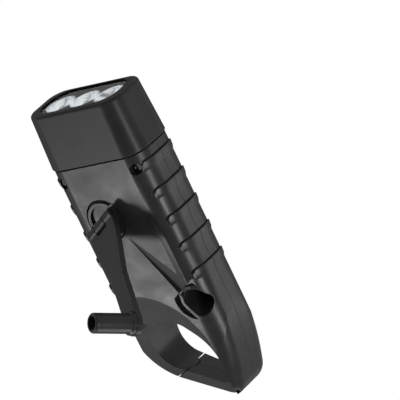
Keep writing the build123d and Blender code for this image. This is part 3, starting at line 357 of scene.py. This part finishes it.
def mirror_material():
    """Vacuum plated plastic: bright, with a faint orange-peel ripple."""
    material, tree, shader = new_material("plated reflector")
    peel = noise(tree, own_place(tree), 420.0, 2.0, 0.5)
    base = mix_colours(tree, peel, (0.82, 0.83, 0.84, 1), (0.90, 0.91, 0.92, 1))
    tree.links.new(base, shader.inputs["Base Color"])
    tree.links.new(spread(tree, peel, 0.2, 0.8, 0.06, 0.14), shader.inputs["Roughness"])
    tree.links.new(bumped(tree, peel, 0.25), shader.inputs["Normal"])
    shader.inputs["Metallic"].default_value = 1.0
    return material


def clear_material(name, tint, roughness, ior):
    """Clear moulding with faint flow marks."""
    material, tree, shader = new_material(name)
    flow = noise(tree, own_place(tree), 120.0, 2.0, 0.5)
    dimmer = tuple(c * 0.96 for c in tint[:3]) + (1.0,)
    tree.links.new(mix_colours(tree, flow, dimmer, tint), shader.inputs["Base Color"])
    tree.links.new(spread(tree, flow, 0.3, 0.7, roughness, roughness + 0.03), shader.inputs["Roughness"])
    shader.inputs["Transmission Weight"].default_value = 1.0
    shader.inputs["IOR"].default_value = ior
    return material


# ---- the flashlight's materials --------------------------------------------------------------
shell_plastic = moulded(
    "shell plastic", (0.0055, 0.0056, 0.0058, 1), (0.05, 0.05, 0.05, 1), 0.34, specular=0.15
)
head_plastic = moulded(
    "head plastic", (0.0048, 0.0049, 0.0051, 1), (0.045, 0.045, 0.045, 1), 0.32, specular=0.14
)
crank_plastic = moulded(
    "crank plastic", (0.0045, 0.0046, 0.0048, 1), (0.06, 0.06, 0.06, 1), 0.33, specular=0.14
)
knob_plastic = moulded(
    "knob plastic", (0.0050, 0.0051, 0.0053, 1), (0.05, 0.05, 0.05, 1), 0.34, specular=0.16
)
bezel_plastic = moulded(
    "bezel plastic", (0.007, 0.0072, 0.0075, 1), (0.05, 0.05, 0.05, 1), 0.22,
    grain_depth=0.05, wear_amount=0.2, specular=0.2
)
# painted shade: a near-black matte for the reflector's flat plate, standing in for the shade inside the
# head
painted_shade_plate = moulded(
    "painted shade plate", (0.003, 0.003, 0.0032, 1), (0.01, 0.01, 0.01, 1), 0.6, specular=0.04
)
switch_plastic = moulded("switch plastic", (0.02, 0.02, 0.022, 1), (0.06, 0.06, 0.06, 1), 0.5)
gear_plastic = moulded(
    "gear plastic", (0.78, 0.75, 0.66, 1), (0.86, 0.84, 0.78, 1), 0.42, grain_depth=0.1, wear_amount=0.1
)
button_rubber = moulded(
    "button rubber", (0.010, 0.010, 0.0105, 1), (0.04, 0.04, 0.04, 1), 0.62, grain_depth=0.5, specular=0.14
)
cell_wrap = moulded("cell wrap", (0.06, 0.30, 0.14, 1), (0.2, 0.5, 0.3, 1), 0.25, grain_depth=0.05)
capacitor_sleeve = moulded(
    "capacitor sleeve", (0.02, 0.04, 0.11, 1), (0.1, 0.14, 0.24, 1), 0.25, grain_depth=0.05
)
phosphor = moulded(
    "lamp phosphor", (0.80, 0.68, 0.16, 1), (0.86, 0.8, 0.4, 1), 0.6, grain_depth=0.3
)
scribe = moulded(
    "scribe line", (0.62, 0.45, 0.32, 1), (0.7, 0.55, 0.42, 1), 0.35, grain_depth=0.02, wear_amount=0.0
)
zinc = metal("zinc plate", (0.55, 0.56, 0.58, 1), (0.33, 0.34, 0.36, 1), 0.32)
black_screw = metal("blackened screw", (0.045, 0.045, 0.05, 1), (0.02, 0.02, 0.022, 1), 0.42)
dark_pin = metal("darkened pin", (0.16, 0.16, 0.165, 1), (0.09, 0.09, 0.095, 1), 0.32)
bright_steel = metal("bright steel", (0.72, 0.73, 0.74, 1), (0.52, 0.53, 0.55, 1), 0.20, (1, 12, 1))
drawn_steel = metal("drawn steel", (0.52, 0.53, 0.54, 1), (0.36, 0.37, 0.38, 1), 0.34, (1, 10, 1))
nickel = metal("nickel strip", (0.62, 0.60, 0.55, 1), (0.46, 0.45, 0.41, 1), 0.30, (10, 1, 1))
sintered = metal(
    "sintered magnet", (0.12, 0.12, 0.125, 1), (0.06, 0.06, 0.065, 1), 0.5, size=2400.0, depth=0.4
)
bush_brass = metal("turned brass", (0.72, 0.52, 0.22, 1), (0.5, 0.34, 0.12, 1), 0.26, (1, 14, 1))
copper_wire = metal(
    "enamelled copper", (0.62, 0.24, 0.09, 1), (0.36, 0.12, 0.04, 1), 0.3, (1, 30, 1), 1600.0, 0.5
)
board_green = board_material()
solar_film = cell_material()
plated = mirror_material()
clear_window = clear_material("clear window", (0.96, 0.98, 0.99, 1), 0.01, 1.08)
clear_epoxy = clear_material("lamp epoxy", (0.97, 0.98, 1.0, 1), 0.03, 1.40)

nodes_of_finish = (
    (shell_plastic, ("front_shell", "back_shell", "gate")),
    (head_plastic, ("head_shell",)),
    (crank_plastic, ("crank_hub", "crank_arm")),
    (knob_plastic, ("knob",)),
    (bezel_plastic, ("solar_bezel",)),
    (solar_film, ("solar_cell",)),
    (button_rubber, ("power_button",)),
    (clear_window, ("lens_window",)),
    (plated, ("reflector",)),
    (clear_epoxy, LAMPS),
    (board_green, ("led_board", "main_board")),
    (switch_plastic, ("tact_switch",)),
    (capacitor_sleeve, ("capacitor",)),
    (cell_wrap, ("battery",)),
    (nickel, ("battery_tabs",)),
    (copper_wire, ("panel_leads", "stator_coil")),
    (drawn_steel, ("generator_can", "gear_plate")),
    (sintered, ("rotor_magnet",)),
    (gear_plastic, ("crank_gear", "idler_gear", "rotor_pinion")),
    (bush_brass, ("hub_bush", "rotor_bushes")),
    (bright_steel, ("idler_pin", "rotor_shaft", "gate_spring")),
    (dark_pin, ("gate_pin", "hinge_pin", "knob_rivet")),
    (black_screw, ("case_screws",)),
    (zinc, ("board_screws", "gear_plate_screws", "hub_screw")),
)
finishes = {node: material for material, nodes in nodes_of_finish for node in nodes}


# ---- pieces and meshes -----------------------------------------------------------------------
def keep(piece, material, body, slot_name, *replaced):
    """Give a finished piece its material and its body, and hide the CAD nodes it replaces."""
    piece.data.materials.clear()
    piece.data.materials.append(material)
    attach(piece, body)
    if replaced:
        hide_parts(*replaced)
    return piece


def link_mesh(name, mesh):
    """A new object for a mesh, in the scene."""
    piece = bpy.data.objects.new(name, mesh)
    scene.collection.objects.link(piece)
    return piece


# faces lie in one plane when their normals agree this well, and a region counts as a flat from this size up
SAME_PLANE = 0.999995
FEWEST_FLAT_FACES, LEAST_FLAT_WIDTH = 4, 5.5 * MM
WIDTH_DIRECTIONS = 12


def narrowest_width(spots, normal):
    """The smallest width of a flat region, measured in a few directions in its plane."""
    across = normal.orthogonal().normalized()
    along = normal.cross(across)
    widths = []
    for step in range(WIDTH_DIRECTIONS):
        turn = math.pi * step / WIDTH_DIRECTIONS
        axis = across * math.cos(turn) + along * math.sin(turn)
        reach = [spot.dot(axis) for spot in spots]
        widths.append(max(reach) - min(reach))
    return min(widths)


def flat_regions(work):
    """The large flat regions of a mesh: the region's normal for each face, or None where it is in none."""
    region_normal = [None] * len(work.faces)
    done = set()
    for first in work.faces:
        if first.index in done:
            continue
        done.add(first.index)
        members, waiting = [first], [first]
        while waiting:
            face = waiting.pop()
            for edge in face.edges:
                for other in edge.link_faces:
                    if other.index not in done and other.normal.dot(first.normal) > SAME_PLANE:
                        done.add(other.index)
                        members.append(other)
                        waiting.append(other)
        if len(members) < FEWEST_FLAT_FACES:
            continue
        spots = [vert.co for face in members for vert in face.verts]
        if narrowest_width(spots, first.normal) > LEAST_FLAT_WIDTH:
            for face in members:
                region_normal[face.index] = first.normal.copy()
    return region_normal


SKIN_CREASE, BEVEL_CREASE = math.radians(30.0), math.radians(35.0)
COPLANAR = math.radians(1.0)
BEVEL_SEGMENTS = 3


def corner_normals(work):
    """A normal for each face corner: large flats keep their own, and curved faces blend up to a crease."""
    limit = math.cos(SKIN_CREASE)
    region_normal = flat_regions(work)
    areas = [face.calc_area() for face in work.faces]
    normals = []
    for face in work.faces:
        own = region_normal[face.index]
        for vert in face.verts:
            if own is not None:
                normals.append(own)
                continue
            total, flat, nearest = Vector((0, 0, 0)), None, limit
            for other in vert.link_faces:
                match = face.normal.dot(other.normal)
                if match < limit:
                    continue
                total += other.normal * areas[other.index]
                if region_normal[other.index] is not None and match >= nearest:
                    flat, nearest = region_normal[other.index], match
            normals.append(flat if flat is not None else total.normalized())
    return normals


def smoothed(node, edge_width=0.0):
    """A CAD node's shape as one joined surface, smooth but for its creases, its edges rounded if asked."""
    mesh = frame["nodes"][node].data.copy()
    work = bmesh.new()
    work.from_mesh(mesh)
    bmesh.ops.remove_doubles(work, verts=work.verts, dist=MERGE_DISTANCE)
    if edge_width > 0:
        bmesh.ops.dissolve_limit(
            work, angle_limit=COPLANAR, verts=work.verts, edges=work.edges, delimit={"NORMAL"}
        )
    for face in work.faces:
        face.smooth = True
    work.faces.index_update()
    work.normal_update()
    normals = corner_normals(work) if edge_width == 0 else None
    work.to_mesh(mesh)
    work.free()
    if normals:
        mesh.normals_split_custom_set(normals)
    else:
        mesh.set_sharp_from_angle(angle=SKIN_CREASE)
    piece = link_mesh(node + "_skin", mesh)
    if edge_width > 0:
        rounding = piece.modifiers.new("round", "BEVEL")
        rounding.width = edge_width
        rounding.segments = BEVEL_SEGMENTS
        rounding.limit_method = "ANGLE"
        rounding.angle_limit = BEVEL_CREASE
        rounding.harden_normals = True
        rounding.use_clamp_overlap = True
    return keep(piece, finishes[node], body_of_node[node], slots[node], node)


# ---- turned shapes ---------------------------------------------------------------------------
TURNED_CREASE = math.radians(35.0)


def vertex_ring(work, radius, height, steps):
    """A ring of vertices about the local Z axis, or one vertex on the axis itself."""
    if radius == 0:
        return [work.verts.new((0, 0, height))]
    turns = [2 * math.pi * step / steps for step in range(steps)]
    return [work.verts.new((radius * math.cos(turn), radius * math.sin(turn), height)) for turn in turns]


def join_rings(work, rings, steps):
    """The faces between one ring and the next, with triangles at a pole."""
    for low, high in zip(rings, rings[1:]):
        for step in range(steps):
            after = (step + 1) % steps
            corners = []
            for ring, index in ((low, step), (low, after), (high, after), (high, step)):
                vert = ring[index % len(ring)]
                if vert not in corners:
                    corners.append(vert)
            work.faces.new(corners)


def closed_mesh(name, work, place):
    """A finished mesh, facing outwards, smooth but for its creases and set in its place by a matrix."""
    bmesh.ops.recalc_face_normals(work, faces=work.faces)
    for face in work.faces:
        face.smooth = True
    work.transform(place)
    mesh = bpy.data.meshes.new(name)
    work.to_mesh(mesh)
    work.free()
    mesh.set_sharp_from_angle(angle=TURNED_CREASE)
    return mesh


# ---- the CAD nodes: smoothed where they are seen, and every one with its finish --------------
BEVELLED = (("crank_arm", 0.45 * MM), ("solar_bezel", 0.12 * MM), ("power_button", 0.20 * MM))

for node, material in finishes.items():
    plain = frame["nodes"][node]
    plain.data.materials.clear()
    plain.data.materials.append(material)

for node in ("front_shell", "back_shell", "gate", "head_shell", "knob", "crank_hub"):
    smoothed(node)
for node, width in BEVELLED:
    smoothed(node, width)


# ---- window, reflector and lamps: drawn forward, so that they fill the rim's opening ----------
LENS_HALF_WIDTH, LENS_HALF_DEPTH, LENS_CORNER = 20.3 * MM, 10.1 * MM, 8.3 * MM
# what lies in front of the flange moves forward by RAISE, and what lies behind it by less and less
FLANGE_Z, RAISE, RAISE_END_Z = 5.2 * MM, 2.45 * MM, 12.2 * MM
# the reflector's plate lies in front of this depth before it is raised, and faces forward
PLATE_DEPTH, PLATE_FACING = 4.5 * MM, -0.9


def raised(node, trimmed):
    """A CAD node drawn forward into the rim's opening, and trimmed to the opening's outline if asked."""
    piece = smoothed(node)
    core_x, core_y = LENS_HALF_WIDTH - LENS_CORNER, LENS_HALF_DEPTH - LENS_CORNER
    for vert in piece.data.vertices:
        spot = vert.co
        share = min(1.0, max(0.0, (spot.z - FLANGE_Z) / (RAISE_END_Z - FLANGE_Z)))
        spot.z -= RAISE * (1.0 - share * share * (3.0 - 2.0 * share))
        if trimmed:
            core = Vector((min(core_x, max(-core_x, spot.x)), min(core_y, max(-core_y, spot.y))))
            off = Vector((spot.x, spot.y)) - core
            if off.length > LENS_CORNER:
                off *= LENS_CORNER / off.length
                spot.x, spot.y = core.x + off.x, core.y + off.y
    return piece


cups = raised("reflector", True)
# painted shade: the flat plate round the cups is made near black, standing in for the shade inside the
# head's opening
cups.data.materials.append(painted_shade_plate)
for face in cups.data.polygons:
    if face.normal.z < PLATE_FACING and face.center.z < PLATE_DEPTH - RAISE:
        face.material_index = 1
raised("lens_window", True)
for lamp in LAMPS:
    raised(lamp, False)


# ---- what repeats or is wound: geometry node trees -------------------------------------------
def new_tree(name, inputs):
    """A geometry node tree with named inputs."""
    tree = bpy.data.node_groups.new(name, "GeometryNodeTree")
    for label, kind, value in inputs:
        socket = tree.interface.new_socket(name=label, in_out="INPUT", socket_type=kind)
        socket.default_value = value
    tree.interface.new_socket(name="Geometry", in_out="OUTPUT", socket_type="NodeSocketGeometry")
    return tree, tree.nodes.new("NodeGroupInput"), tree.nodes.new("NodeGroupOutput")


def grown(name, tree, values, smooth_angle):
    """Run a geometry node tree once, and take its result as a plain mesh."""
    seed = link_mesh(name + "_seed", bpy.data.meshes.new(name + "_seed"))
    modifier = seed.modifiers.new("grow", "NODES")
    modifier.node_group = tree
    names = {item.name: item.identifier for item in tree.interface.items_tree if item.in_out == "INPUT"}
    for label, value in values.items():
        modifier[names[label]] = value
    evaluated = seed.evaluated_get(bpy.context.evaluated_depsgraph_get())
    mesh = bpy.data.meshes.new_from_object(evaluated)
    bpy.data.objects.remove(seed)
    mesh.name = name
    for face in mesh.polygons:
        face.use_smooth = True
    mesh.set_sharp_from_angle(angle=math.radians(smooth_angle))
    return link_mesh(name, mesh)


def finish_tree(tree, end, geometry_socket, material):
    """Close a tree with real geometry and its material."""
    real = tree.nodes.new("GeometryNodeRealizeInstances")
    paint = tree.nodes.new("GeometryNodeSetMaterial")
    paint.inputs["Material"].default_value = material
    tree.links.new(geometry_socket, real.inputs[0])
    tree.links.new(real.outputs[0], paint.inputs["Geometry"])
    tree.links.new(paint.outputs[0], end.inputs[0])


SCRIBE_WIDTH, SCRIBE_THICKNESS, SCRIBE_LIFT = 0.28 * MM, 0.03 * MM, 0.01 * MM
SCRIBE_END_MARGIN = 0.7 * MM


def scribe_lines():
    """The thin paler lines that divide the solar film into its strips."""
    tree, start, end = new_tree("scribe lines", [
        ("Count", "NodeSocketInt", 8), ("Pitch", "NodeSocketFloat", 0.0042),
        ("Length", "NodeSocketFloat", 0.02), ("Width", "NodeSocketFloat", 0.0003),
        ("Start", "NodeSocketVector", (0, 0, 0)),
    ])
    step = tree.nodes.new("ShaderNodeCombineXYZ")
    tree.links.new(start.outputs["Pitch"], step.inputs["Z"])
    row = tree.nodes.new("GeometryNodeMeshLine")
    row.mode = "OFFSET"
    tree.links.new(start.outputs["Count"], row.inputs["Count"])
    tree.links.new(start.outputs["Start"], row.inputs["Start Location"])
    tree.links.new(step.outputs[0], row.inputs["Offset"])
    size = tree.nodes.new("ShaderNodeCombineXYZ")
    tree.links.new(start.outputs["Length"], size.inputs["X"])
    size.inputs["Y"].default_value = SCRIBE_THICKNESS
    tree.links.new(start.outputs["Width"], size.inputs["Z"])
    strip = tree.nodes.new("GeometryNodeMeshCube")
    tree.links.new(size.outputs[0], strip.inputs["Size"])
    repeated = tree.nodes.new("GeometryNodeInstanceOnPoints")
    tree.links.new(row.outputs[0], repeated.inputs["Points"])
    tree.links.new(strip.outputs[0], repeated.inputs["Instance"])
    finish_tree(tree, end, repeated.outputs[0], scribe)
    pitch = CELL_SIZE.z / CELL_STRIPES
    piece = grown("solar_scribe_lines", tree, {
        "Count": CELL_STRIPES - 1, "Pitch": pitch,
        "Length": CELL_SIZE.x - 2 * SCRIBE_END_MARGIN, "Width": SCRIBE_WIDTH,
        "Start": (CELL_MIDDLE.x, CELL_LOW.y - SCRIBE_LIFT, CELL_LOW.z + pitch),
    }, smooth_angle=35.0)
    keep(piece, scribe, "body", slots["solar_cell"])


SPRING_TURNS, SPRING_LENGTH = 3.5, 2.9 * MM
SPRING_RADIUS, SPRING_WIRE_RADIUS = 1.98 * MM, 0.42 * MM


def spring_coil():
    """The gate's torsion spring: a wire wound round the pin."""
    tree, start, end = new_tree("wound wire", [
        ("Turns", "NodeSocketFloat", 4.0), ("Wire", "NodeSocketFloat", 0.0004),
        ("Radius", "NodeSocketFloat", 0.002), ("Length", "NodeSocketFloat", 0.003),
        ("Middle", "NodeSocketVector", (0, 0, 0)),
    ])
    path = tree.nodes.new("GeometryNodeCurveSpiral")
    path.inputs["Resolution"].default_value = 24
    tree.links.new(start.outputs["Turns"], path.inputs["Rotations"])
    tree.links.new(start.outputs["Radius"], path.inputs["Start Radius"])
    tree.links.new(start.outputs["Radius"], path.inputs["End Radius"])
    tree.links.new(start.outputs["Length"], path.inputs["Height"])
    ring = tree.nodes.new("GeometryNodeCurvePrimitiveCircle")
    ring.inputs["Resolution"].default_value = 10
    tree.links.new(start.outputs["Wire"], ring.inputs["Radius"])
    sweep = tree.nodes.new("GeometryNodeCurveToMesh")
    sweep.inputs["Fill Caps"].default_value = True
    tree.links.new(path.outputs[0], sweep.inputs["Curve"])
    tree.links.new(ring.outputs[0], sweep.inputs["Profile Curve"])
    # the spiral starts at its foot, so it is moved down by half its length
    down = tree.nodes.new("ShaderNodeCombineXYZ")
    tree.links.new(maths(tree, "MULTIPLY", start.outputs["Length"], -0.5), down.inputs["Z"])
    centre = tree.nodes.new("GeometryNodeTransform")
    tree.links.new(sweep.outputs[0], centre.inputs["Geometry"])
    tree.links.new(down.outputs[0], centre.inputs["Translation"])
    place = tree.nodes.new("GeometryNodeTransform")
    tree.links.new(centre.outputs[0], place.inputs["Geometry"])
    tree.links.new(start.outputs["Middle"], place.inputs["Translation"])
    place.inputs["Rotation"].default_value = (math.pi / 2, 0, 0)
    finish_tree(tree, end, place.outputs[0], bright_steel)
    pin_low, pin_high = node_box("gate_pin")
    piece = grown("gate_spring_coil", tree, {
        "Turns": SPRING_TURNS, "Wire": SPRING_WIRE_RADIUS, "Radius": SPRING_RADIUS,
        "Length": SPRING_LENGTH, "Middle": tuple((pin_low + pin_high) / 2),
    }, smooth_angle=60.0)
    keep(piece, bright_steel, "body", slots["gate_spring"], "gate_spring")


scribe_lines()
spring_coil()


# ---- screw heads with a cross recess ---------------------------------------------------------
HEAD_STEPS = 48
# shares of the head's radius and of its depth, from the underside to the flat top
HEAD_PROFILE = ((1.0, -1.0), (1.0, -0.45), (0.93, -0.14), (0.80, 0.0))
RECESS_HALF_WIDTH, RECESS_REACH = 0.16, 0.62
RECESS_FOOT, RECESS_DEPTH = 0.6, 0.75
# how far each head stands above its CAD screw, and how deep it is
SCREW_HEADS = (
    ("case_screw_head_0", 0.35 * MM, 1.1 * MM),
    ("case_screw_head_1", 0.35 * MM, 1.1 * MM),
    ("tail_screw_head", 0.25 * MM, 0.9 * MM),
)


def cross_head(name, screw_box, proud, depth):
    """A pan head with a real cross recess, facing +Y, on top of a CAD screw."""
    low, high = screw_box
    radius = (high.x - low.x) / 2
    work = bmesh.new()
    rings = [
        vertex_ring(work, radius * share, depth * height, HEAD_STEPS) for share, height in HEAD_PROFILE
    ]
    join_rings(work, rings, HEAD_STEPS)
    work.faces.new(reversed(rings[0]))
    near, far = radius * RECESS_HALF_WIDTH, radius * RECESS_REACH
    cross = [
        (near, near), (near, far), (-near, far), (-near, near), (-far, near), (-far, -near),
        (-near, -near), (-near, -far), (near, -far), (near, -near), (far, -near), (far, near),
    ]
    mouth = [work.verts.new((u, v, 0.0)) for u, v in cross]
    foot = [work.verts.new((u * RECESS_FOOT, v * RECESS_FOOT, -depth * RECESS_DEPTH)) for u, v in cross]
    join_rings(work, (foot, mouth), len(cross))
    work.faces.new(foot)
    top_edges = []
    for loop in (mouth, rings[-1]):
        for vert, after in zip(loop, loop[1:] + loop[:1]):
            top_edges.append(work.edges.get((vert, after)))
    bmesh.ops.triangle_fill(work, edges=top_edges, use_beauty=True)
    # the head's own Z axis becomes the flashlight's Y axis
    middle = (low + high) / 2
    place = Matrix.Translation((middle.x, high.y + proud, middle.z)) @ Matrix.Rotation(-math.pi / 2, 4, "X")
    keep(link_mesh(name, closed_mesh(name, work, place)), black_screw, "body", slots["case_screws"])


for (name, proud, depth), screw_box in zip(SCREW_HEADS, solid_boxes("case_screws")):
    cross_head(name, screw_box, proud, depth)


# ---- inside the lamps ------------------------------------------------------------------------
# profiles from the foot up, as millimetres from the axis and along it
LAMP_CUP = (
    (0, -3.0), (0.3, -3.0), (0.3, -0.8), (0.9, -0.6), (1.1, 0.3), (0.9, 0.3), (0.6, -0.2), (0, -0.2),
)
LAMP_DOT = ((0, -0.18), (0.55, -0.18), (0.85, 0.22), (0.5, 0.42), (0, 0.48))
LAMP_POST = ((0, -3.0), (0.25, -3.0), (0.25, -0.2), (0.45, 0.1), (0.3, 0.4), (0, 0.45))
CUP_ASIDE, CUP_Z = 0.5 * MM, 8.5 * MM
POST_ASIDE, POST_Z = -1.3 * MM, 8.7 * MM


def lamp_core(lamp):
    """The cup and post inside a 5 mm lamp, with the phosphor dot in the cup."""
    low, high = node_box(lamp)
    for label, profile, steps, aside, z, material in (
        ("cup", LAMP_CUP, 20, CUP_ASIDE, CUP_Z, nickel),
        ("dot", LAMP_DOT, 20, CUP_ASIDE, CUP_Z, phosphor),
        ("post", LAMP_POST, 12, POST_ASIDE, POST_Z, nickel),
    ):
        work = bmesh.new()
        rings = [vertex_ring(work, radius * MM, height * MM, steps) for radius, height in profile]
        join_rings(work, rings, steps)
        # the lamps shine towards -Z
        place = Matrix.Translation(((low.x + high.x) / 2 + aside, 0, z)) @ Matrix.Rotation(math.pi, 4, "X")
        name = f"{lamp}_{label}"
        keep(link_mesh(name, closed_mesh(name, work, place)), material, "body", slots[lamp])


for lamp in LAMPS:
    lamp_core(lamp)

# ---- camera: the photograph's left view ------------------------------------------------------
PICTURE_MIDDLE = Vector((29.3, -4.0, 55.8)) * MM
PICTURE_RIGHT = Vector((0.7526, -0.5110, 0.4124))
TOWARDS_CAMERA = Vector((0.640, 0.712, -0.285))
PICTURE_WIDTH, CAMERA_REACH, SENSOR_WIDTH = 161.5 * MM, 2.0, 36.0


def photo_camera():
    """The camera that sees the flashlight as the photograph does."""
    back = TOWARDS_CAMERA.normalized()
    up = back.cross(PICTURE_RIGHT).normalized()
    right = up.cross(back).normalized()
    data = bpy.data.cameras.new("camera")
    data.sensor_width = SENSOR_WIDTH
    data.lens = SENSOR_WIDTH * CAMERA_REACH / PICTURE_WIDTH
    camera = bpy.data.objects.new("camera", data)
    turn = Matrix((right, up, back)).transposed().to_4x4()
    camera.matrix_world = Matrix.Translation(PICTURE_MIDDLE + back * CAMERA_REACH) @ turn
    scene.collection.objects.link(camera)
    scene.camera = camera


photo_camera()

# ---- floor, world and lights -----------------------------------------------------------------
WHITE = (1, 1, 1, 1)
FLOOR_REACH, FLOOR_Z = 2.5, -0.2 * MM
FLOOR_FADE_START, FLOOR_FADE_END = 0.12, 0.42


def pale_floor():
    """A floor seen and shadowed from above, and looked through from below, where the camera stands."""
    mesh = bpy.data.meshes.new("floor")
    corners = ((-1, -1), (1, -1), (1, 1), (-1, 1))
    mesh.from_pydata([(x * FLOOR_REACH, y * FLOOR_REACH, FLOOR_Z) for x, y in corners], [], [(0, 1, 2, 3)])
    piece = link_mesh("floor", mesh)
    material, tree, shader = new_material("pale floor")
    where = own_place(tree)
    cloud = noise(tree, where, 6.0, 3.0, 0.5)
    base = mix_colours(tree, cloud, (0.86, 0.86, 0.86, 1), (0.90, 0.90, 0.90, 1))
    tree.links.new(base, shader.inputs["Base Color"])
    shader.inputs["Roughness"].default_value = 0.8
    shader.inputs["Specular IOR Level"].default_value = 0.1
    # mirrors and glass see the floor white
    rays = tree.nodes.new("ShaderNodeLightPath")
    whitened = maths(tree, "MAXIMUM", rays.outputs["Is Glossy Ray"], rays.outputs["Is Transmission Ray"])
    # away from the flashlight the floor fades into the white background
    distance = tree.nodes.new("ShaderNodeVectorMath")
    distance.operation = "LENGTH"
    tree.links.new(where, distance.inputs[0])
    far_off = spread(tree, distance.outputs["Value"], FLOOR_FADE_START, FLOOR_FADE_END)
    from_camera = maths(tree, "MULTIPLY", far_off, rays.outputs["Is Camera Ray"])
    whitened = maths(tree, "MAXIMUM", whitened, from_camera)
    glow = tree.nodes.new("ShaderNodeEmission")
    glow.inputs["Color"].default_value = WHITE
    seen = mix_shaders(tree, whitened, shader.outputs[0], glow.outputs[0])
    underside = tree.nodes.new("ShaderNodeNewGeometry").outputs["Backfacing"]
    see_through = tree.nodes.new("ShaderNodeBsdfTransparent")
    one_sided = mix_shaders(tree, underside, seen, see_through.outputs[0])
    tree.links.new(one_sided, tree.nodes["Material Output"].inputs["Surface"])
    piece.data.materials.append(material)
    piece.visible_shadow = False
    return piece


def studio_world():
    """A soft light from all round, which the camera, mirrors and glass see as plain white."""
    world = bpy.data.worlds.new("studio")
    scene.world = world
    world.use_nodes = True
    tree = world.node_tree
    tree.nodes.clear()
    soft_light = tree.nodes.new("ShaderNodeBackground")
    soft_light.inputs["Color"].default_value = (0.62, 0.63, 0.65, 1)
    soft_light.inputs["Strength"].default_value = 0.6
    white = tree.nodes.new("ShaderNodeBackground")
    white.inputs["Color"].default_value = WHITE
    rays = tree.nodes.new("ShaderNodeLightPath")
    seen = maths(tree, "MAXIMUM", rays.outputs["Is Camera Ray"], rays.outputs["Is Transmission Ray"])
    seen = maths(tree, "MAXIMUM", seen, rays.outputs["Is Glossy Ray"])
    out = tree.nodes.new("ShaderNodeOutputWorld")
    tree.links.new(mix_shaders(tree, seen, soft_light.outputs[0], white.outputs[0]), out.inputs["Surface"])


floor = pale_floor()
studio_world()

LAMP_AIM = Vector((0.0, 0.0, 60.0 * MM))


def soft_lamp(name, heading, height, distance, size, power):
    """A soft round light, placed by its heading and height angle round the flashlight and aimed at it."""
    data = bpy.data.lights.new(name, "AREA")
    data.shape = "DISK"
    data.size = size
    data.energy = power
    lamp = bpy.data.objects.new(name, data)
    turn, rise = math.radians(heading), math.radians(height)
    away = Vector((math.cos(rise) * math.cos(turn), math.cos(rise) * math.sin(turn), math.sin(rise)))
    lamp.location = LAMP_AIM + away * distance
    lamp.rotation_euler = away.to_track_quat("Z", "Y").to_euler()
    scene.collection.objects.link(lamp)


# heading and height in degrees, distance and size in metres, power in watts
soft_lamp("back light", 131.0, 19.0, 1.1, 0.20, 4.6)
soft_lamp("corner light", 26.0, 20.0, 1.1, 0.34, 9.5)
soft_lamp("side light", -42.0, 24.0, 0.5, 0.24, 0.5)
soft_lamp("rim light", 228.0, -17.0, 1.1, 0.50, 2.5)
soft_lamp("front light", -115.0, 35.0, 1.1, 0.45, 7.5)
soft_lamp("overhead", 60.0, 80.0, 1.2, 0.60, 5.0)
